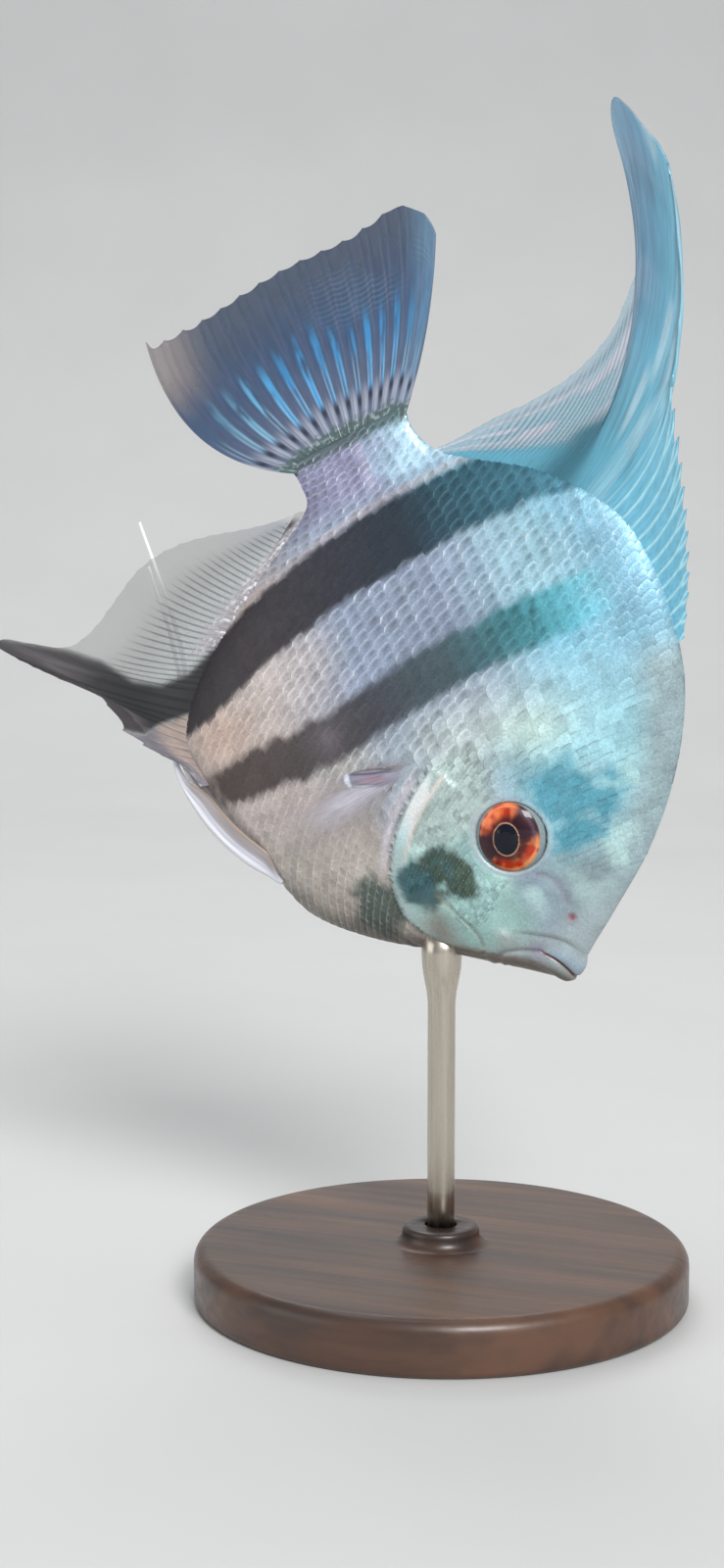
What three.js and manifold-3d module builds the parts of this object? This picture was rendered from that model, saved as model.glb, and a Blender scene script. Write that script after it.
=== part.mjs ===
// A young silver angelfish, life size, held nose down on a small display stand.
//
// The fish is worked out in its own frame, in millimetres: x runs from the snout to the
// tail, y from the belly to the back and z from the right flank to the left one.
// One group then turns that frame nose down and sets it over the stand, with +Z up and
// the origin at the middle of the base's underside.
import * as THREE from 'three'
import { mergeVertices } from 'three/addons/utils/BufferGeometryUtils.js'
import Module from 'manifold-3d'

const wasm = await Module()
wasm.setup()

// ---- Driving dimensions ---------------------------------------------------------------

const STANDARD_LENGTH = 62 // snout to the root of the tail fin
const STALK_END = STANDARD_LENGTH + 0.6 // the tail stalk's rounded end
const PITCH = 65.5 // degrees that the nose points below level
const SNOUT_HEIGHT = 36.87 // of the lip above the table
const SNOUT_FORWARD = 15.56 // of the lip from the stand's rod
const GAP = 0.3 // between two neighbouring pieces

const RING_POINTS = 32 // round the body
const STATIONS = 38 // along the body
const PLUMPNESS = 0.72 // power of the flank's curve: 0.5 is an ellipse, 1 a lens
const FLANK_POWER = 1.9 // power of the height in that curve
const SNOUT_CROWDING = 1.35 // how much closer the stations stand near the snout
const SIDE_REACH = 10 // of a cut from the middle plane, past the widest flank

const EYE_AT = [15.98, 0.6]
const EYE_RADIUS = 3.85
const EYE_BULGE = 1.85 // half thickness of the eyeball
const EYE_SINK = 1.05 // of its middle below the cheek

const GILL_PLATE = 1.0 // thickness under the flank's line
const GILL_RISE = 0.35 // above the flank's line

const MEMBRANE = 0.27 // half thickness of a fin between its rays
const RAY_RISE = 0.13 // of a ray above the membrane, on each face
const SHEATH_RISE = 0.22 // of the scaly sheath at a fin's root, on each face
const SHEATH_SHARE = 0.3 // of a ray's length that the sheath covers
const TIP = 0.24 // half thickness of a fin at its tips
const FIN_ROOT = 1.1 // how deep a fin starts inside the body before it is cut clear

const BASE_RADIUS = 27
const BASE_HEIGHT = 6
const ROD_RADIUS = 1.5

// ---- Outlines in the fish's frame, [along, up] -----------------------------------------

const BACK = [
  [-0.3, -0.75], [0, 0], [1.6, 1.95], [4.5, 6.1], [9, 12.1], [15.4, 18.1], [22.7, 22.45],
  [29, 24.2], [36, 24.9], [43.1, 23.5], [50.5, 17.5], [56.6, 8.4], [60, 6.5], [STALK_END, 6.6],
]
const BELLY = [
  [-0.3, -0.85], [0, -1.8], [2.8, -6.1], [4.4, -8.9], [7.5, -13.7], [12.1, -21], [16.7, -26.1],
  [22, -28.5], [28.7, -30.9], [36, -32.2], [41, -32.2], [46.6, -27.1], [52.9, -16.9],
  [57.3, -8.6], [60, -7.9], [STALK_END, -8.3],
]
const HALF_WIDTH = [
  [-0.3, 0.2], [0, 0.85], [1.2, 1.6], [3, 2.3], [6, 3.1], [10, 4.15], [16, 5.4], [22, 6.1],
  [27, 6.25], [34, 5.9], [42, 4.8], [50, 3.3], [56, 2.2], [60, 1.6], [STALK_END, 0.95],
]

// Smooth interpolation of a table of [position, value] pairs.
function tableAt(points, x) {
  const last = points.length - 1
  let i = 0
  while (i < last - 1 && x > points[i + 1][0]) i++
  const [x0, y0] = points[i]
  const [x1, y1] = points[i + 1]
  const t = THREE.MathUtils.clamp((x - x0) / (x1 - x0), 0, 1)
  const slope = (k) => {
    const a = points[Math.max(k - 1, 0)]
    const b = points[Math.min(k + 1, last)]
    return (b[1] - a[1]) / (b[0] - a[0])
  }
  const dx = x1 - x0
  const t2 = t * t
  const t3 = t2 * t
  return (2 * t3 - 3 * t2 + 1) * y0 + (t3 - 2 * t2 + t) * dx * slope(i)
    + (3 * t2 - 2 * t3) * y1 + (t3 - t2) * dx * slope(i + 1)
}

const SNOUT_END = BACK[0][0]

// The back's and the belly's height at a station, moved out by grow along their normals.
function heightsAt(x, grow) {
  const step = 0.4
  const moved = (table) => {
    const slope = (tableAt(table, x + step) - tableAt(table, x - step)) / (2 * step)
    return grow * Math.min(Math.hypot(1, slope), 3)
  }
  return [tableAt(BELLY, x) - moved(BELLY), tableAt(BACK, x) + moved(BACK)]
}

// Distance of the flank's skin from the middle plane at a place seen from the side.
function flankAt(x, y) {
  const [low, high] = heightsAt(x, 0)
  const t = THREE.MathUtils.clamp((2 * y - low - high) / (high - low), -1, 1)
  return tableAt(HALF_WIDTH, x) * flankShare(t)
}

// The flank's curve: the share of the full half width at a share t of the half height.
function flankShare(t) {
  return (1 - Math.abs(t) ** FLANK_POWER) ** PLUMPNESS
}

// ---- Solids ----------------------------------------------------------------------------

function bufferGeometry(positions, triangles) {
  const geometry = new THREE.BufferGeometry()
  geometry.setAttribute('position', new THREE.Float32BufferAttribute(positions, 3))
  geometry.setIndex(triangles)
  return geometry
}

// A closed three.js geometry as a solid for joining and cutting.
function solid(geometry) {
  const bare = new THREE.BufferGeometry()
  bare.setAttribute('position', geometry.getAttribute('position').clone())
  if (geometry.index) bare.setIndex(geometry.index.clone())
  const merged = mergeVertices(bare, 1e-4)
  const mesh = new wasm.Mesh({
    numProp: 3,
    vertProperties: Float32Array.from(merged.getAttribute('position').array),
    triVerts: Uint32Array.from(merged.index.array),
  })
  return new wasm.Manifold(mesh)
}

// The largest closed surface of a solid, as a geometry.
function geometryOf(shape) {
  const pieces = shape.decompose()
  pieces.sort((a, b) => b.volume() - a.volume())
  const { vertProperties, triVerts } = pieces[0].getMesh()
  return bufferGeometry(Array.from(vertProperties), Array.from(triVerts))
}

function joined(shapes) {
  return shapes.reduce((sum, shape) => sum.add(shape))
}

// The whole body as one closed loft: rings of points from the snout to the tail stalk.
// widen moves only the flanks, grow moves the whole skin out.
function bodyLoft(grow = 0, widen = 0) {
  const positions = []
  const triangles = []
  for (let i = 0; i < STATIONS; i++) {
    const along = (i / (STATIONS - 1)) ** SNOUT_CROWDING
    const x = THREE.MathUtils.lerp(SNOUT_END, STALK_END, along)
    const [low, high] = heightsAt(x, grow)
    const full = Math.max(tableAt(HALF_WIDTH, x) + grow + widen, 0.1)
    const moved = i === 0 ? x - grow : i === STATIONS - 1 ? x + grow : x
    for (let j = 0; j < RING_POINTS; j++) {
      const angle = (2 * Math.PI * j) / RING_POINTS
      const t = Math.sin(angle)
      const z = Math.sign(Math.cos(angle)) * full * flankShare(t)
      positions.push(moved, (low + high) / 2 + (t * (high - low)) / 2, z)
    }
  }
  for (let i = 0; i < STATIONS - 1; i++) {
    for (let j = 0; j < RING_POINTS; j++) {
      const a = i * RING_POINTS + j
      const b = i * RING_POINTS + ((j + 1) % RING_POINTS)
      const c = a + RING_POINTS
      const d = b + RING_POINTS
      triangles.push(a, c, b, b, c, d)
    }
  }
  for (const [ring, flip] of [[0, false], [STATIONS - 1, true]]) {
    const start = ring * RING_POINTS
    const centre = positions.length / 3
    const [low, high] = [positions[3 * (start + RING_POINTS * 3 / 4) + 1],
      positions[3 * (start + RING_POINTS / 4) + 1]]
    positions.push(positions[3 * start], (low + high) / 2, 0)
    for (let j = 0; j < RING_POINTS; j++) {
      const a = start + j
      const b = start + ((j + 1) % RING_POINTS)
      triangles.push(...(flip ? [centre, b, a] : [centre, a, b]))
    }
  }
  return solid(bufferGeometry(positions, triangles))
}

// A polyline in the side view moved to its left by a distance.
function offsetLine(points, distance) {
  return points.map((p, i) => {
    const before = points[Math.max(i - 1, 0)]
    const after = points[Math.min(i + 1, points.length - 1)]
    const length = Math.hypot(after[0] - before[0], after[1] - before[1])
    return [
      p[0] - ((after[1] - before[1]) / length) * distance,
      p[1] + ((after[0] - before[0]) / length) * distance,
    ]
  })
}

// Smooth points through a few control points of the side view.
function smoothLine(points, count) {
  const curve = new THREE.SplineCurve(points.map(([x, y]) => new THREE.Vector2(x, y)))
  return curve.getSpacedPoints(count).map((p) => [p.x, p.y])
}

// A closed outline of the side view pushed through the fish from z0 to z1.
function prism(outline, z0, z1) {
  const shape = new THREE.Shape(outline.map(([x, y]) => new THREE.Vector2(x, y)))
  const geometry = new THREE.ExtrudeGeometry(shape, { depth: z1 - z0, bevelEnabled: false })
  geometry.translate(0, 0, z0)
  return solid(geometry)
}

// A cut of the gap's width along a line of the side view, right through the body.
function seamCut(line) {
  const outline = [...offsetLine(line, GAP / 2), ...offsetLine(line, -GAP / 2).reverse()]
  return prism(outline, -SIDE_REACH, SIDE_REACH)
}

// A round bar of few sides along a smooth path through points.
function bar(points, radius, steps, sides) {
  const path = new THREE.CatmullRomCurve3(points.map((p) => new THREE.Vector3(...p)))
  const section = new THREE.Shape()
  for (let i = 0; i < sides; i++) {
    const angle = (2 * Math.PI * i) / sides
    const place = [radius * Math.cos(angle), radius * Math.sin(angle)]
    if (i === 0) section.moveTo(...place)
    else section.lineTo(...place)
  }
  section.closePath()
  return solid(new THREE.ExtrudeGeometry(section, { extrudePath: path, steps, bevelEnabled: false }))
}

// ---- Head, jaw, trunk and tail stalk -----------------------------------------------------

const GILL_REAR = smoothLine([
  [26.3, -3.7], [25, -6], [23.1, -8.8], [20.3, -11.8], [16.7, -14], [12.6, -14.7],
  [9.4, -13.2], [7.4, -11.1], [6.1, -8.9],
], 20)
const GILL_FRONT = smoothLine([
  [6.1, -8.9], [7.2, -7.4], [12.5, -6.2], [17, -5.5], [21.3, -4.2], [24.4, -2.7], [26.3, -3.7],
], 14)
const NAPE_SEAM = [[15.5, 21], [17, 18.3], [21.5, 11], [24.6, 4], [26.4, -1.2]]
const THROAT_SEAM = [[11.2, -16.2], [9.4, -18.4]]
const MOUTH_LINE = [[-2, -0.5], [0, -0.55], [1.1, -0.85], [2.3, -1.55], [3.2, -2.4]]
const JAW_REAR = [[3.2, -2.4], [3.9, -4.6], [4.3, -7], [4.35, -8.6], [3.6, -10.4]]
const STALK_SEAM = [[56.9, 12], [57.6, 6], [57.9, 0], [57.8, -6], [57.2, -12]]
const LIP_RADIUS = 0.52
const UPPER_LIP = [[2.9, -1.2, 2.2], [1.6, -0.45, 1.8], [0.7, -0.1, 1.1], [0.3, 0, 0]]
const LOWER_LIP = [[3.3, -3.1, 2.2], [1.9, -2.35, 1.8], [0.9, -1.85, 1.1], [0.5, -1.7, 0]]
const LIP_FOLD = [[3.35, 1], [4.7, -0.5], [5.7, -2.5], [6.6, -4.3]]
const FOLD_RADIUS = 0.4
const NOSTRIL_AT = [5.8, 2.45]
const NOSTRIL_RADIUS = 0.45

const skin = bodyLoft()
const clearOfSkin = bodyLoft(GAP)

// Both sides of a shape that is built on the left flank.
function bothSides(make) {
  return joined([make(1), make(-1)])
}

// Each lip is one round bar from corner to corner of the mouth.
function lips() {
  return joined([UPPER_LIP, LOWER_LIP].map((half) => {
    const other = half.slice(0, -1).reverse().map(([x, y, z]) => [x, y, -z])
    return bar([...half, ...other], LIP_RADIUS, 14, 8)
  }))
}

// The fold behind the upper lip, as a shallow groove in the skin, and the nostril's pit.
function headGrooves(side) {
  const fold = LIP_FOLD.map(([x, y]) => [x, y, side * (flankAt(x, y) + FOLD_RADIUS / 3)])
  const nostril = new THREE.IcosahedronGeometry(NOSTRIL_RADIUS, 1)
  nostril.translate(...NOSTRIL_AT, side * flankAt(...NOSTRIL_AT))
  return bar(fold, FOLD_RADIUS, 8, 6).add(solid(nostril))
}

// The frame of an eye: its middle lies under the cheek and its axis stands square to it.
function eyePlace(side) {
  const [x, y] = EYE_AT
  const step = 1.5
  const slopeX = (flankAt(x + step, y) - flankAt(x - step, y)) / (2 * step)
  const slopeY = (flankAt(x, y + step) - flankAt(x, y - step)) / (2 * step)
  const normal = new THREE.Vector3(-slopeX, -slopeY, 1).normalize()
  const middle = new THREE.Vector3(x, y, flankAt(x, y)).addScaledVector(normal, -EYE_SINK)
  const turn = new THREE.Quaternion().setFromUnitVectors(new THREE.Vector3(0, 0, 1), normal)
  const matrix = new THREE.Matrix4().compose(middle, turn, new THREE.Vector3(1, 1, 1))
  return side > 0 ? matrix : new THREE.Matrix4().makeScale(1, 1, -1).multiply(matrix)
}

// An eyeball grown by a clearance. A mirrored one has its triangles turned round again.
function eyeball(side, clearance) {
  const geometry = new THREE.SphereGeometry(1, 24, 12)
  geometry.rotateX(Math.PI / 2)
  const radius = EYE_RADIUS + clearance
  geometry.scale(radius, radius, EYE_BULGE + clearance)
  geometry.applyMatrix4(eyePlace(side))
  if (side < 0) {
    const order = geometry.index.array
    for (let i = 0; i < order.length; i += 3) [order[i], order[i + 1]] = [order[i + 1], order[i]]
  }
  return solid(geometry)
}

const gillOutline = [...GILL_REAR, ...GILL_FRONT.slice(1, -1)]
const gillOutlineWide = offsetLine([...gillOutline, gillOutline[0]], GAP).slice(0, -1)
const GILL_INNER = 1 // where a gill plate starts, out from the middle plane

// An outline pushed outward on one flank, from a depth to past the skin.
function sidePrism(outline, from, side) {
  return side > 0 ? prism(outline, from, SIDE_REACH) : prism(outline, -SIDE_REACH, -from)
}

// The plate of a gill cover: a raised patch of the skin with the gill outline.
function gillCover(side) {
  return bodyLoft(0, GILL_RISE).subtract(bodyLoft(0, -GILL_PLATE))
    .intersect(sidePrism(gillOutline, GILL_INNER, side))
}

// The recess that the plate lies in.
function gillRecess(side) {
  return sidePrism(gillOutlineWide, GILL_INNER - GAP, side)
    .subtract(bodyLoft(0, -GILL_PLATE - GAP))
}

// The head ends at the nape's line, then behind the gill cover and across the throat.
const headSeam = [...NAPE_SEAM, ...offsetLine(GILL_REAR, GAP).slice(0, 12), ...THROAT_SEAM]
const cuts = joined([
  seamCut(headSeam),
  seamCut([...MOUTH_LINE, ...JAW_REAR.slice(1)]),
  seamCut(STALK_SEAM),
])
const carved = skin.add(lips())
  .subtract(bothSides(headGrooves))
  .subtract(bothSides((side) => eyeball(side, GAP)))
  .subtract(bothSides(gillRecess))
  .subtract(cuts)

// The parts of the cut body, told apart by where they lie along the fish.
function bodyParts() {
  const pieces = carved.decompose().sort((a, b) => b.volume() - a.volume())
  const pick = (test) => pieces.find((piece) => {
    const { min, max } = piece.boundingBox()
    return test(min[0], max[0])
  })
  return {
    trunk: pieces[0],
    head: pick((from, to) => from < 6 && to > 15),
    lower_jaw: pick((from, to) => from < 2 && to < 6),
    tail_stalk: pick((from) => from > 55),
  }
}

// ---- Fins --------------------------------------------------------------------------------

// A thin vane from a grid of places. Whole indexes are rays and those between are membrane.
// place(i, f) gives the middle surface at a share f of the ray's length and half(i, f) the
// half thickness there. Both faces are split into triangles alike.
function vane(indexes, rows, place, half) {
  const positions = []
  const triangles = []
  for (const face of [1, -1]) {
    for (const index of indexes) {
      for (let j = 0; j < rows; j++) {
        const f = j / (rows - 1)
        const p = place(index, f)
        positions.push(p.x, p.y, p.z + face * half(index, f))
      }
    }
  }
  const columns = indexes.length
  const at = (face, i, j) => face * columns * rows + i * rows + j
  const quad = (a, b, c, d) => triangles.push(a, b, c, a, c, d)
  for (let i = 0; i < columns - 1; i++) {
    for (let j = 0; j < rows - 1; j++) {
      quad(at(0, i, j), at(0, i + 1, j), at(0, i + 1, j + 1), at(0, i, j + 1))
      triangles.push(at(1, i, j), at(1, i + 1, j + 1), at(1, i + 1, j))
      triangles.push(at(1, i, j), at(1, i, j + 1), at(1, i + 1, j + 1))
    }
    quad(at(0, i, 0), at(1, i, 0), at(1, i + 1, 0), at(0, i + 1, 0))
    quad(at(0, i + 1, rows - 1), at(1, i + 1, rows - 1), at(1, i, rows - 1), at(0, i, rows - 1))
  }
  for (let j = 0; j < rows - 1; j++) {
    quad(at(0, 0, j + 1), at(1, 0, j + 1), at(1, 0, j), at(0, 0, j))
    quad(at(0, columns - 1, j), at(1, columns - 1, j), at(1, columns - 1, j + 1),
      at(0, columns - 1, j + 1))
  }
  const shape = solid(bufferGeometry(positions, triangles))
  return shape.volume() > 0 ? shape : solid(bufferGeometry(positions, triangles.reverse()))
}

// Ray numbers from first to last in half steps. A vane that starts between two rays, beside
// its neighbour's last ray, leaves a narrow gap there.
function rayIndexes(first, last) {
  const indexes = first % 1 ? [first] : []
  for (let i = Math.ceil(first * 2); i <= last * 2; i++) indexes.push(i / 2)
  return indexes
}

// A small repeatable number from -1 to 1 for the raggedness of a fin's edge.
function ragged(i) {
  const wave = Math.sin(i * 25.9796 + 4.1) * 43758.5453
  return 2 * (wave - Math.floor(wave)) - 1
}

// A rayed fin that stands in the middle plane. Its tables run from its first ray to its last.
//   root, edge: lines of the side view, from the fin's front to its rear end
//   spread: [[ray share, edge share], ...] where the rays end on the edge
//   meet: [[ray share, root share], ...] where they start on the root
//   bow: [[ray share, bow], ...] how far a ray arches toward the front, over its length
//   tooth: [[ray share, notch], ...] how far the edge is notched between two rays
//   sway: sideways bend of the fin toward its tips
// first and last pick the rays of one of its nodes.
function rayedFin({ rays, rows, root, edge, spread, meet, bow, tooth, sway }, first, last) {
  const rootCurve = new THREE.SplineCurve(root.map(([x, y]) => new THREE.Vector2(x, y)))
  const edgeCurve = new THREE.SplineCurve(edge.map(([x, y]) => new THREE.Vector2(x, y)))
  const share = (table, s) => THREE.MathUtils.clamp(tableAt(table, s), 0, 1)
  const place = (index, f) => {
    const s = index / (rays - 1)
    const from = rootCurve.getPointAt(share(meet, s))
    const to = edgeCurve.getPointAt(share(spread, s))
    const notch = index % 1 ? tableAt(tooth, s) * (1 + 0.3 * ragged(index)) : 0
    const reach = f * (1 - notch)
    const chord = to.clone().sub(from)
    const arch = new THREE.Vector2(-chord.y, chord.x).multiplyScalar(tableAt(bow, s))
    const p = from.clone().addScaledVector(chord, reach)
      .addScaledVector(arch, 4 * reach * (1 - reach))
    return new THREE.Vector3(p.x, p.y, sway(s, reach))
  }
  const half = (index, f) => {
    const sheath = SHEATH_RISE * Math.max(0, 1 - f / SHEATH_SHARE)
    const thick = MEMBRANE + sheath + (index % 1 ? 0 : RAY_RISE)
    return THREE.MathUtils.lerp(thick, TIP, f ** 3)
  }
  return vane(rayIndexes(first, last), rows, place, half).subtract(clearOfSkin)
}

function sunkRoot(table, from, to, inward, count) {
  const points = []
  for (let i = 0; i < count; i++) {
    const x = THREE.MathUtils.lerp(from, to, i / (count - 1))
    points.push([x, tableAt(table, x) + inward])
  }
  return points
}

const DORSAL = {
  rays: 34,
  rows: 8,
  root: sunkRoot(BACK, 27.6, 56.6, -FIN_ROOT, 9),
  edge: [
    [28, 24.6], [32.4, 27.2], [38, 29.7], [46.7, 32.5], [52, 34], [57.3, 37], [62.7, 39.5],
    [67.5, 41], [71.4, 42.1], [74.1, 42.4], [77.2, 41.6], [80.2, 40.7], [81.4, 40], [80.2, 39.1],
    [77.2, 38.4], [73.6, 38.4], [70.5, 38], [66.7, 37], [62.4, 33.2], [59.6, 29.8], [57.7, 25],
    [57.1, 20], [57.2, 15], [57, 10.5], [57, 8],
  ],
  spread: [[0, 0], [0.33, 0.249], [0.42, 0.433], [0.5, 0.547], [0.58, 0.686], [0.8, 0.852], [1, 1]],
  meet: [[0, 0], [0.33, 0.42], [0.42, 0.5], [0.5, 0.55], [0.58, 0.6], [0.8, 0.8], [1, 1]],
  bow: [[0, 0.02], [0.33, 0.1], [0.42, 0.135], [0.5, 0.125], [0.58, 0.105], [0.75, 0.07], [1, 0.02]],
  tooth: [[0, 0.1], [0.3, 0.14], [0.4, 0.02], [0.6, 0.01], [1, 0.02]],
  sway: (s, f) => 0.9 * f * f * Math.sin(3 + 5 * s) - 0.4 * f * Math.sin(9 * s),
}

// The dorsal fin's streamer and spines are one node and its soft rear part is another.
const DORSAL_SPLIT = 20 // last ray of the front part
const SPLIT_GAP = 0.35 // of the way to the next ray

const ANAL = {
  rays: 30,
  rows: 8,
  root: sunkRoot(BELLY, 34.6, 57, FIN_ROOT, 9),
  edge: [
    [34.6, -32.6], [38.3, -34.2], [41.4, -37.1], [44.8, -39.5], [48, -40], [51.5, -42],
    [55.3, -46.2], [58, -49.2], [60, -50.6], [59.9, -49], [58.3, -46.5], [55.9, -42.2],
    [56.3, -38.3], [58.2, -34.1], [60.1, -29.8], [60.6, -25.5], [60, -21.1], [58.9, -17],
    [57.9, -12.8], [57.4, -9],
  ],
  spread: [[0, 0], [0.17, 0.2], [0.28, 0.38], [0.34, 0.43], [0.41, 0.54], [0.7, 0.78], [1, 1]],
  meet: [[0, 0], [0.17, 0.14], [0.28, 0.22], [0.34, 0.27], [0.41, 0.36], [0.7, 0.66], [1, 1]],
  bow: [[0, -0.02], [0.17, -0.03], [0.28, -0.03], [0.34, -0.035], [0.41, -0.045], [0.7, -0.04], [1, -0.02]],
  tooth: [[0, 0.08], [0.15, 0.1], [0.22, 0.02], [0.6, 0.01], [1, 0.02]],
  sway: (s, f) => -0.8 * f * f * Math.sin(2 + 5 * s) + 0.3 * f * Math.sin(8 * s),
}

const CAUDAL = {
  rays: 16,
  rows: 8,
  root: [[61.2, 5.6], [61.5, 3], [61.6, -0.8], [61.5, -5], [61.2, -7.4]],
  edge: [
    [77.6, 17], [79.6, 16.8], [81.2, 15.9], [82.3, 14], [82.1, 11.4], [81.7, 7.5], [82, 1.2], [81.8, -4.1],
    [81.3, -9.8], [81.4, -14], [81.5, -17.3], [82.3, -18.1],
  ],
  spread: [[0, 0], [1, 1]],
  meet: [[0, 0], [1, 1]],
  bow: [[0, 0.045], [0.25, 0.045], [0.5, 0], [0.75, -0.09], [1, -0.18]],
  tooth: [[0, 0.012], [1, 0.012]],
  sway: (s, f) => 0.6 * f * f * Math.sin(1 + 5 * s),
}

const PECTORAL_ROOT = [[27.2, -6.1], [26.1, -9]]

const PECTORAL_EDGE = [
  [28.9, -11], [28.8, -16], [27.4, -21], [25.9, -22.6], [23.6, -22.2], [21, -19.8], [20.4, -16.4],
  [22.4, -12.6],
]
const PECTORAL_RAYS = 11

// The pectoral fin lies along the flank, rays down, and stands a little clear of it.
function pectoralFin(side) {
  const edge = new THREE.SplineCurve(PECTORAL_EDGE.map(([x, y]) => new THREE.Vector2(x, y)))
  const [top, bottom] = PECTORAL_ROOT.map(([x, y]) => new THREE.Vector2(x, y))
  const depth = flankAt((top.x + bottom.x) / 2, (top.y + bottom.y) / 2)
  const place = (index, f) => {
    const s = index / (PECTORAL_RAYS - 1)
    const reach = f * (index % 1 ? 0.98 : 1)
    const p = top.clone().lerp(bottom, s).lerp(edge.getPointAt(s), reach)
    return new THREE.Vector3(p.x, p.y, side * (depth - 0.7 + 2.6 * f - 0.8 * f * f))
  }
  const half = (index, f) => {
    const thick = MEMBRANE + (index % 1 ? 0 : RAY_RISE) + SHEATH_RISE * Math.max(0, 1 - 4 * f)
    return THREE.MathUtils.lerp(thick, TIP, f ** 3)
  }
  return vane(rayIndexes(0, PECTORAL_RAYS - 1), 6, place, half)
    .subtract(clearOfSkin).subtract(bothSides(gillGuard))
}

// A gill cover grown by the gap, to keep a fin clear of it.
function gillGuard(side) {
  return bodyLoft(0, GILL_RISE + GAP).intersect(sidePrism(gillOutlineWide, GILL_INNER, side))
}

// A pelvic fin: a narrow vane of few rays that runs out into a long filament.
function pelvicFin(path) {
  const curve = new THREE.CatmullRomCurve3(path.map((p) => new THREE.Vector3(...p)))
  const place = (index, f) => {
    const share = f ** 0.9
    const p = curve.getPointAt(share)
    const t = curve.getTangentAt(share)
    const across = new THREE.Vector3(-t.y, t.x, 0).normalize()
    return p.addScaledVector(across, (index / (PELVIC_RAYS - 1) - 0.5) * tableAt(PELVIC_WIDTH, share))
  }
  const half = (index, f) =>
    THREE.MathUtils.lerp(MEMBRANE + (index % 1 ? 0 : RAY_RISE), TIP, f ** 4)
  return vane(rayIndexes(0, PELVIC_RAYS - 1), 20, place, half).subtract(clearOfSkin)
}

const PELVIC_RAYS = 3
const PELVIC_WIDTH = [[0, 1.3], [0.1, 1.9], [0.3, 1.7], [0.45, 0.8], [0.6, 0.6], [1, 0.45]]
const PELVIC_LEFT = [
  [21.3, -27.8, 0.9], [24.4, -30.7, 1.7], [28.5, -33.2, 2.4], [33, -34.7, 2.8], [37.2, -35.5, 3.1],
  [42.5, -33.9, 3.4], [48, -30.8, 3.4], [54, -29.6, 3.3], [60.5, -29.1, 3.2], [65.3, -28.8, 3.1],
]
const PELVIC_RIGHT = [
  [21.3, -27.6, -0.9], [24, -29.8, -1.6], [28, -32.1, -1.8], [32.5, -33.9, -1.2], [36.6, -35, 0.1],
  [41, -34.4, 1.5], [46, -31.5, 2], [52, -30.1, 2], [57, -29.6, 2], [60.1, -29.3, 1.9],
]

// ---- Stand -------------------------------------------------------------------------------

const SOCKET_DEPTH = 3
const BOSS_RADIUS = 4.2
const BOSS_HEIGHT = 2

// A flat round base with a small boss and a socket for the rod, turned about the rod.
function standBase() {
  const top = BASE_HEIGHT + BOSS_HEIGHT
  const socket = ROD_RADIUS + GAP
  const profile = [
    [0, 0], [BASE_RADIUS - 0.8, 0], [BASE_RADIUS, 0.8], [BASE_RADIUS, BASE_HEIGHT - 1.6],
    [BASE_RADIUS - 0.5, BASE_HEIGHT - 0.5], [BASE_RADIUS - 1.6, BASE_HEIGHT],
    [BOSS_RADIUS + 1, BASE_HEIGHT], [BOSS_RADIUS, BASE_HEIGHT + 0.6], [BOSS_RADIUS - 0.5, top],
    [socket, top], [socket, top - SOCKET_DEPTH], [0, top - SOCKET_DEPTH],
  ]
  return lathe(profile, 48)
}

// The rod, widened to a small pad under the throat and cut to the fish's own curve.
function standRod() {
  const foot = BASE_HEIGHT + BOSS_HEIGHT - SOCKET_DEPTH + GAP
  const throat = SNOUT_HEIGHT + 1.2
  const profile = [
    [0, foot], [ROD_RADIUS, foot], [ROD_RADIUS, throat - 5], [ROD_RADIUS + 0.5, throat - 2.5],
    [ROD_RADIUS + 0.7, throat + 3], [0, throat + 3],
  ]
  return lathe(profile, 20)
}

// A closed turned form about the vertical axis, from [radius, height] pairs.
function lathe(profile, segments) {
  const points = profile.map(([r, h]) => new THREE.Vector2(r, h))
  const geometry = new THREE.LatheGeometry(points, segments)
  geometry.rotateX(Math.PI / 2)
  return solid(geometry)
}

// ---- The scene graph -----------------------------------------------------------------------

const FLESH = { color: 0xb9c6cf, roughness: 0.4, metalness: 0.25 }
const FIN = { color: 0x9fb9c8, roughness: 0.45, metalness: 0.05 }

function named(name, shape, look) {
  const mesh = new THREE.Mesh(geometryOf(shape), new THREE.MeshStandardMaterial(look))
  mesh.name = name
  return mesh
}

const fish = new THREE.Group()
fish.position.set(SNOUT_FORWARD, 0, SNOUT_HEIGHT)
fish.rotation.set(-Math.PI / 2, -THREE.MathUtils.degToRad(180 - PITCH), 0, 'YXZ')

const parts = bodyParts()
for (const [name, shape] of Object.entries(parts)) fish.add(named(name, shape, FLESH))
for (const [label, side] of [['right', -1], ['left', 1]]) {
  fish.add(named(`gill_cover_${label}`, gillCover(side), { ...FLESH, color: 0xbfe0e0 }))
  fish.add(named(`eye_${label}`, eyeball(side, 0), { color: 0xc8562a, roughness: 0.1, metalness: 0 }))
  fish.add(named(`pectoral_fin_${label}`, pectoralFin(side), FIN))
}
fish.add(named('pelvic_fin_right', pelvicFin(PELVIC_RIGHT), FIN))
fish.add(named('pelvic_fin_left', pelvicFin(PELVIC_LEFT), FIN))
fish.add(named('dorsal_fin_front', rayedFin(DORSAL, 0, DORSAL_SPLIT), FIN))
fish.add(named('dorsal_fin_rear', rayedFin(DORSAL, DORSAL_SPLIT + SPLIT_GAP, DORSAL.rays - 1), FIN))
fish.add(named('anal_fin', rayedFin(ANAL, 0, ANAL.rays - 1), FIN))
fish.add(named('caudal_fin', rayedFin(CAUDAL, 0, CAUDAL.rays - 1), FIN))

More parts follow.
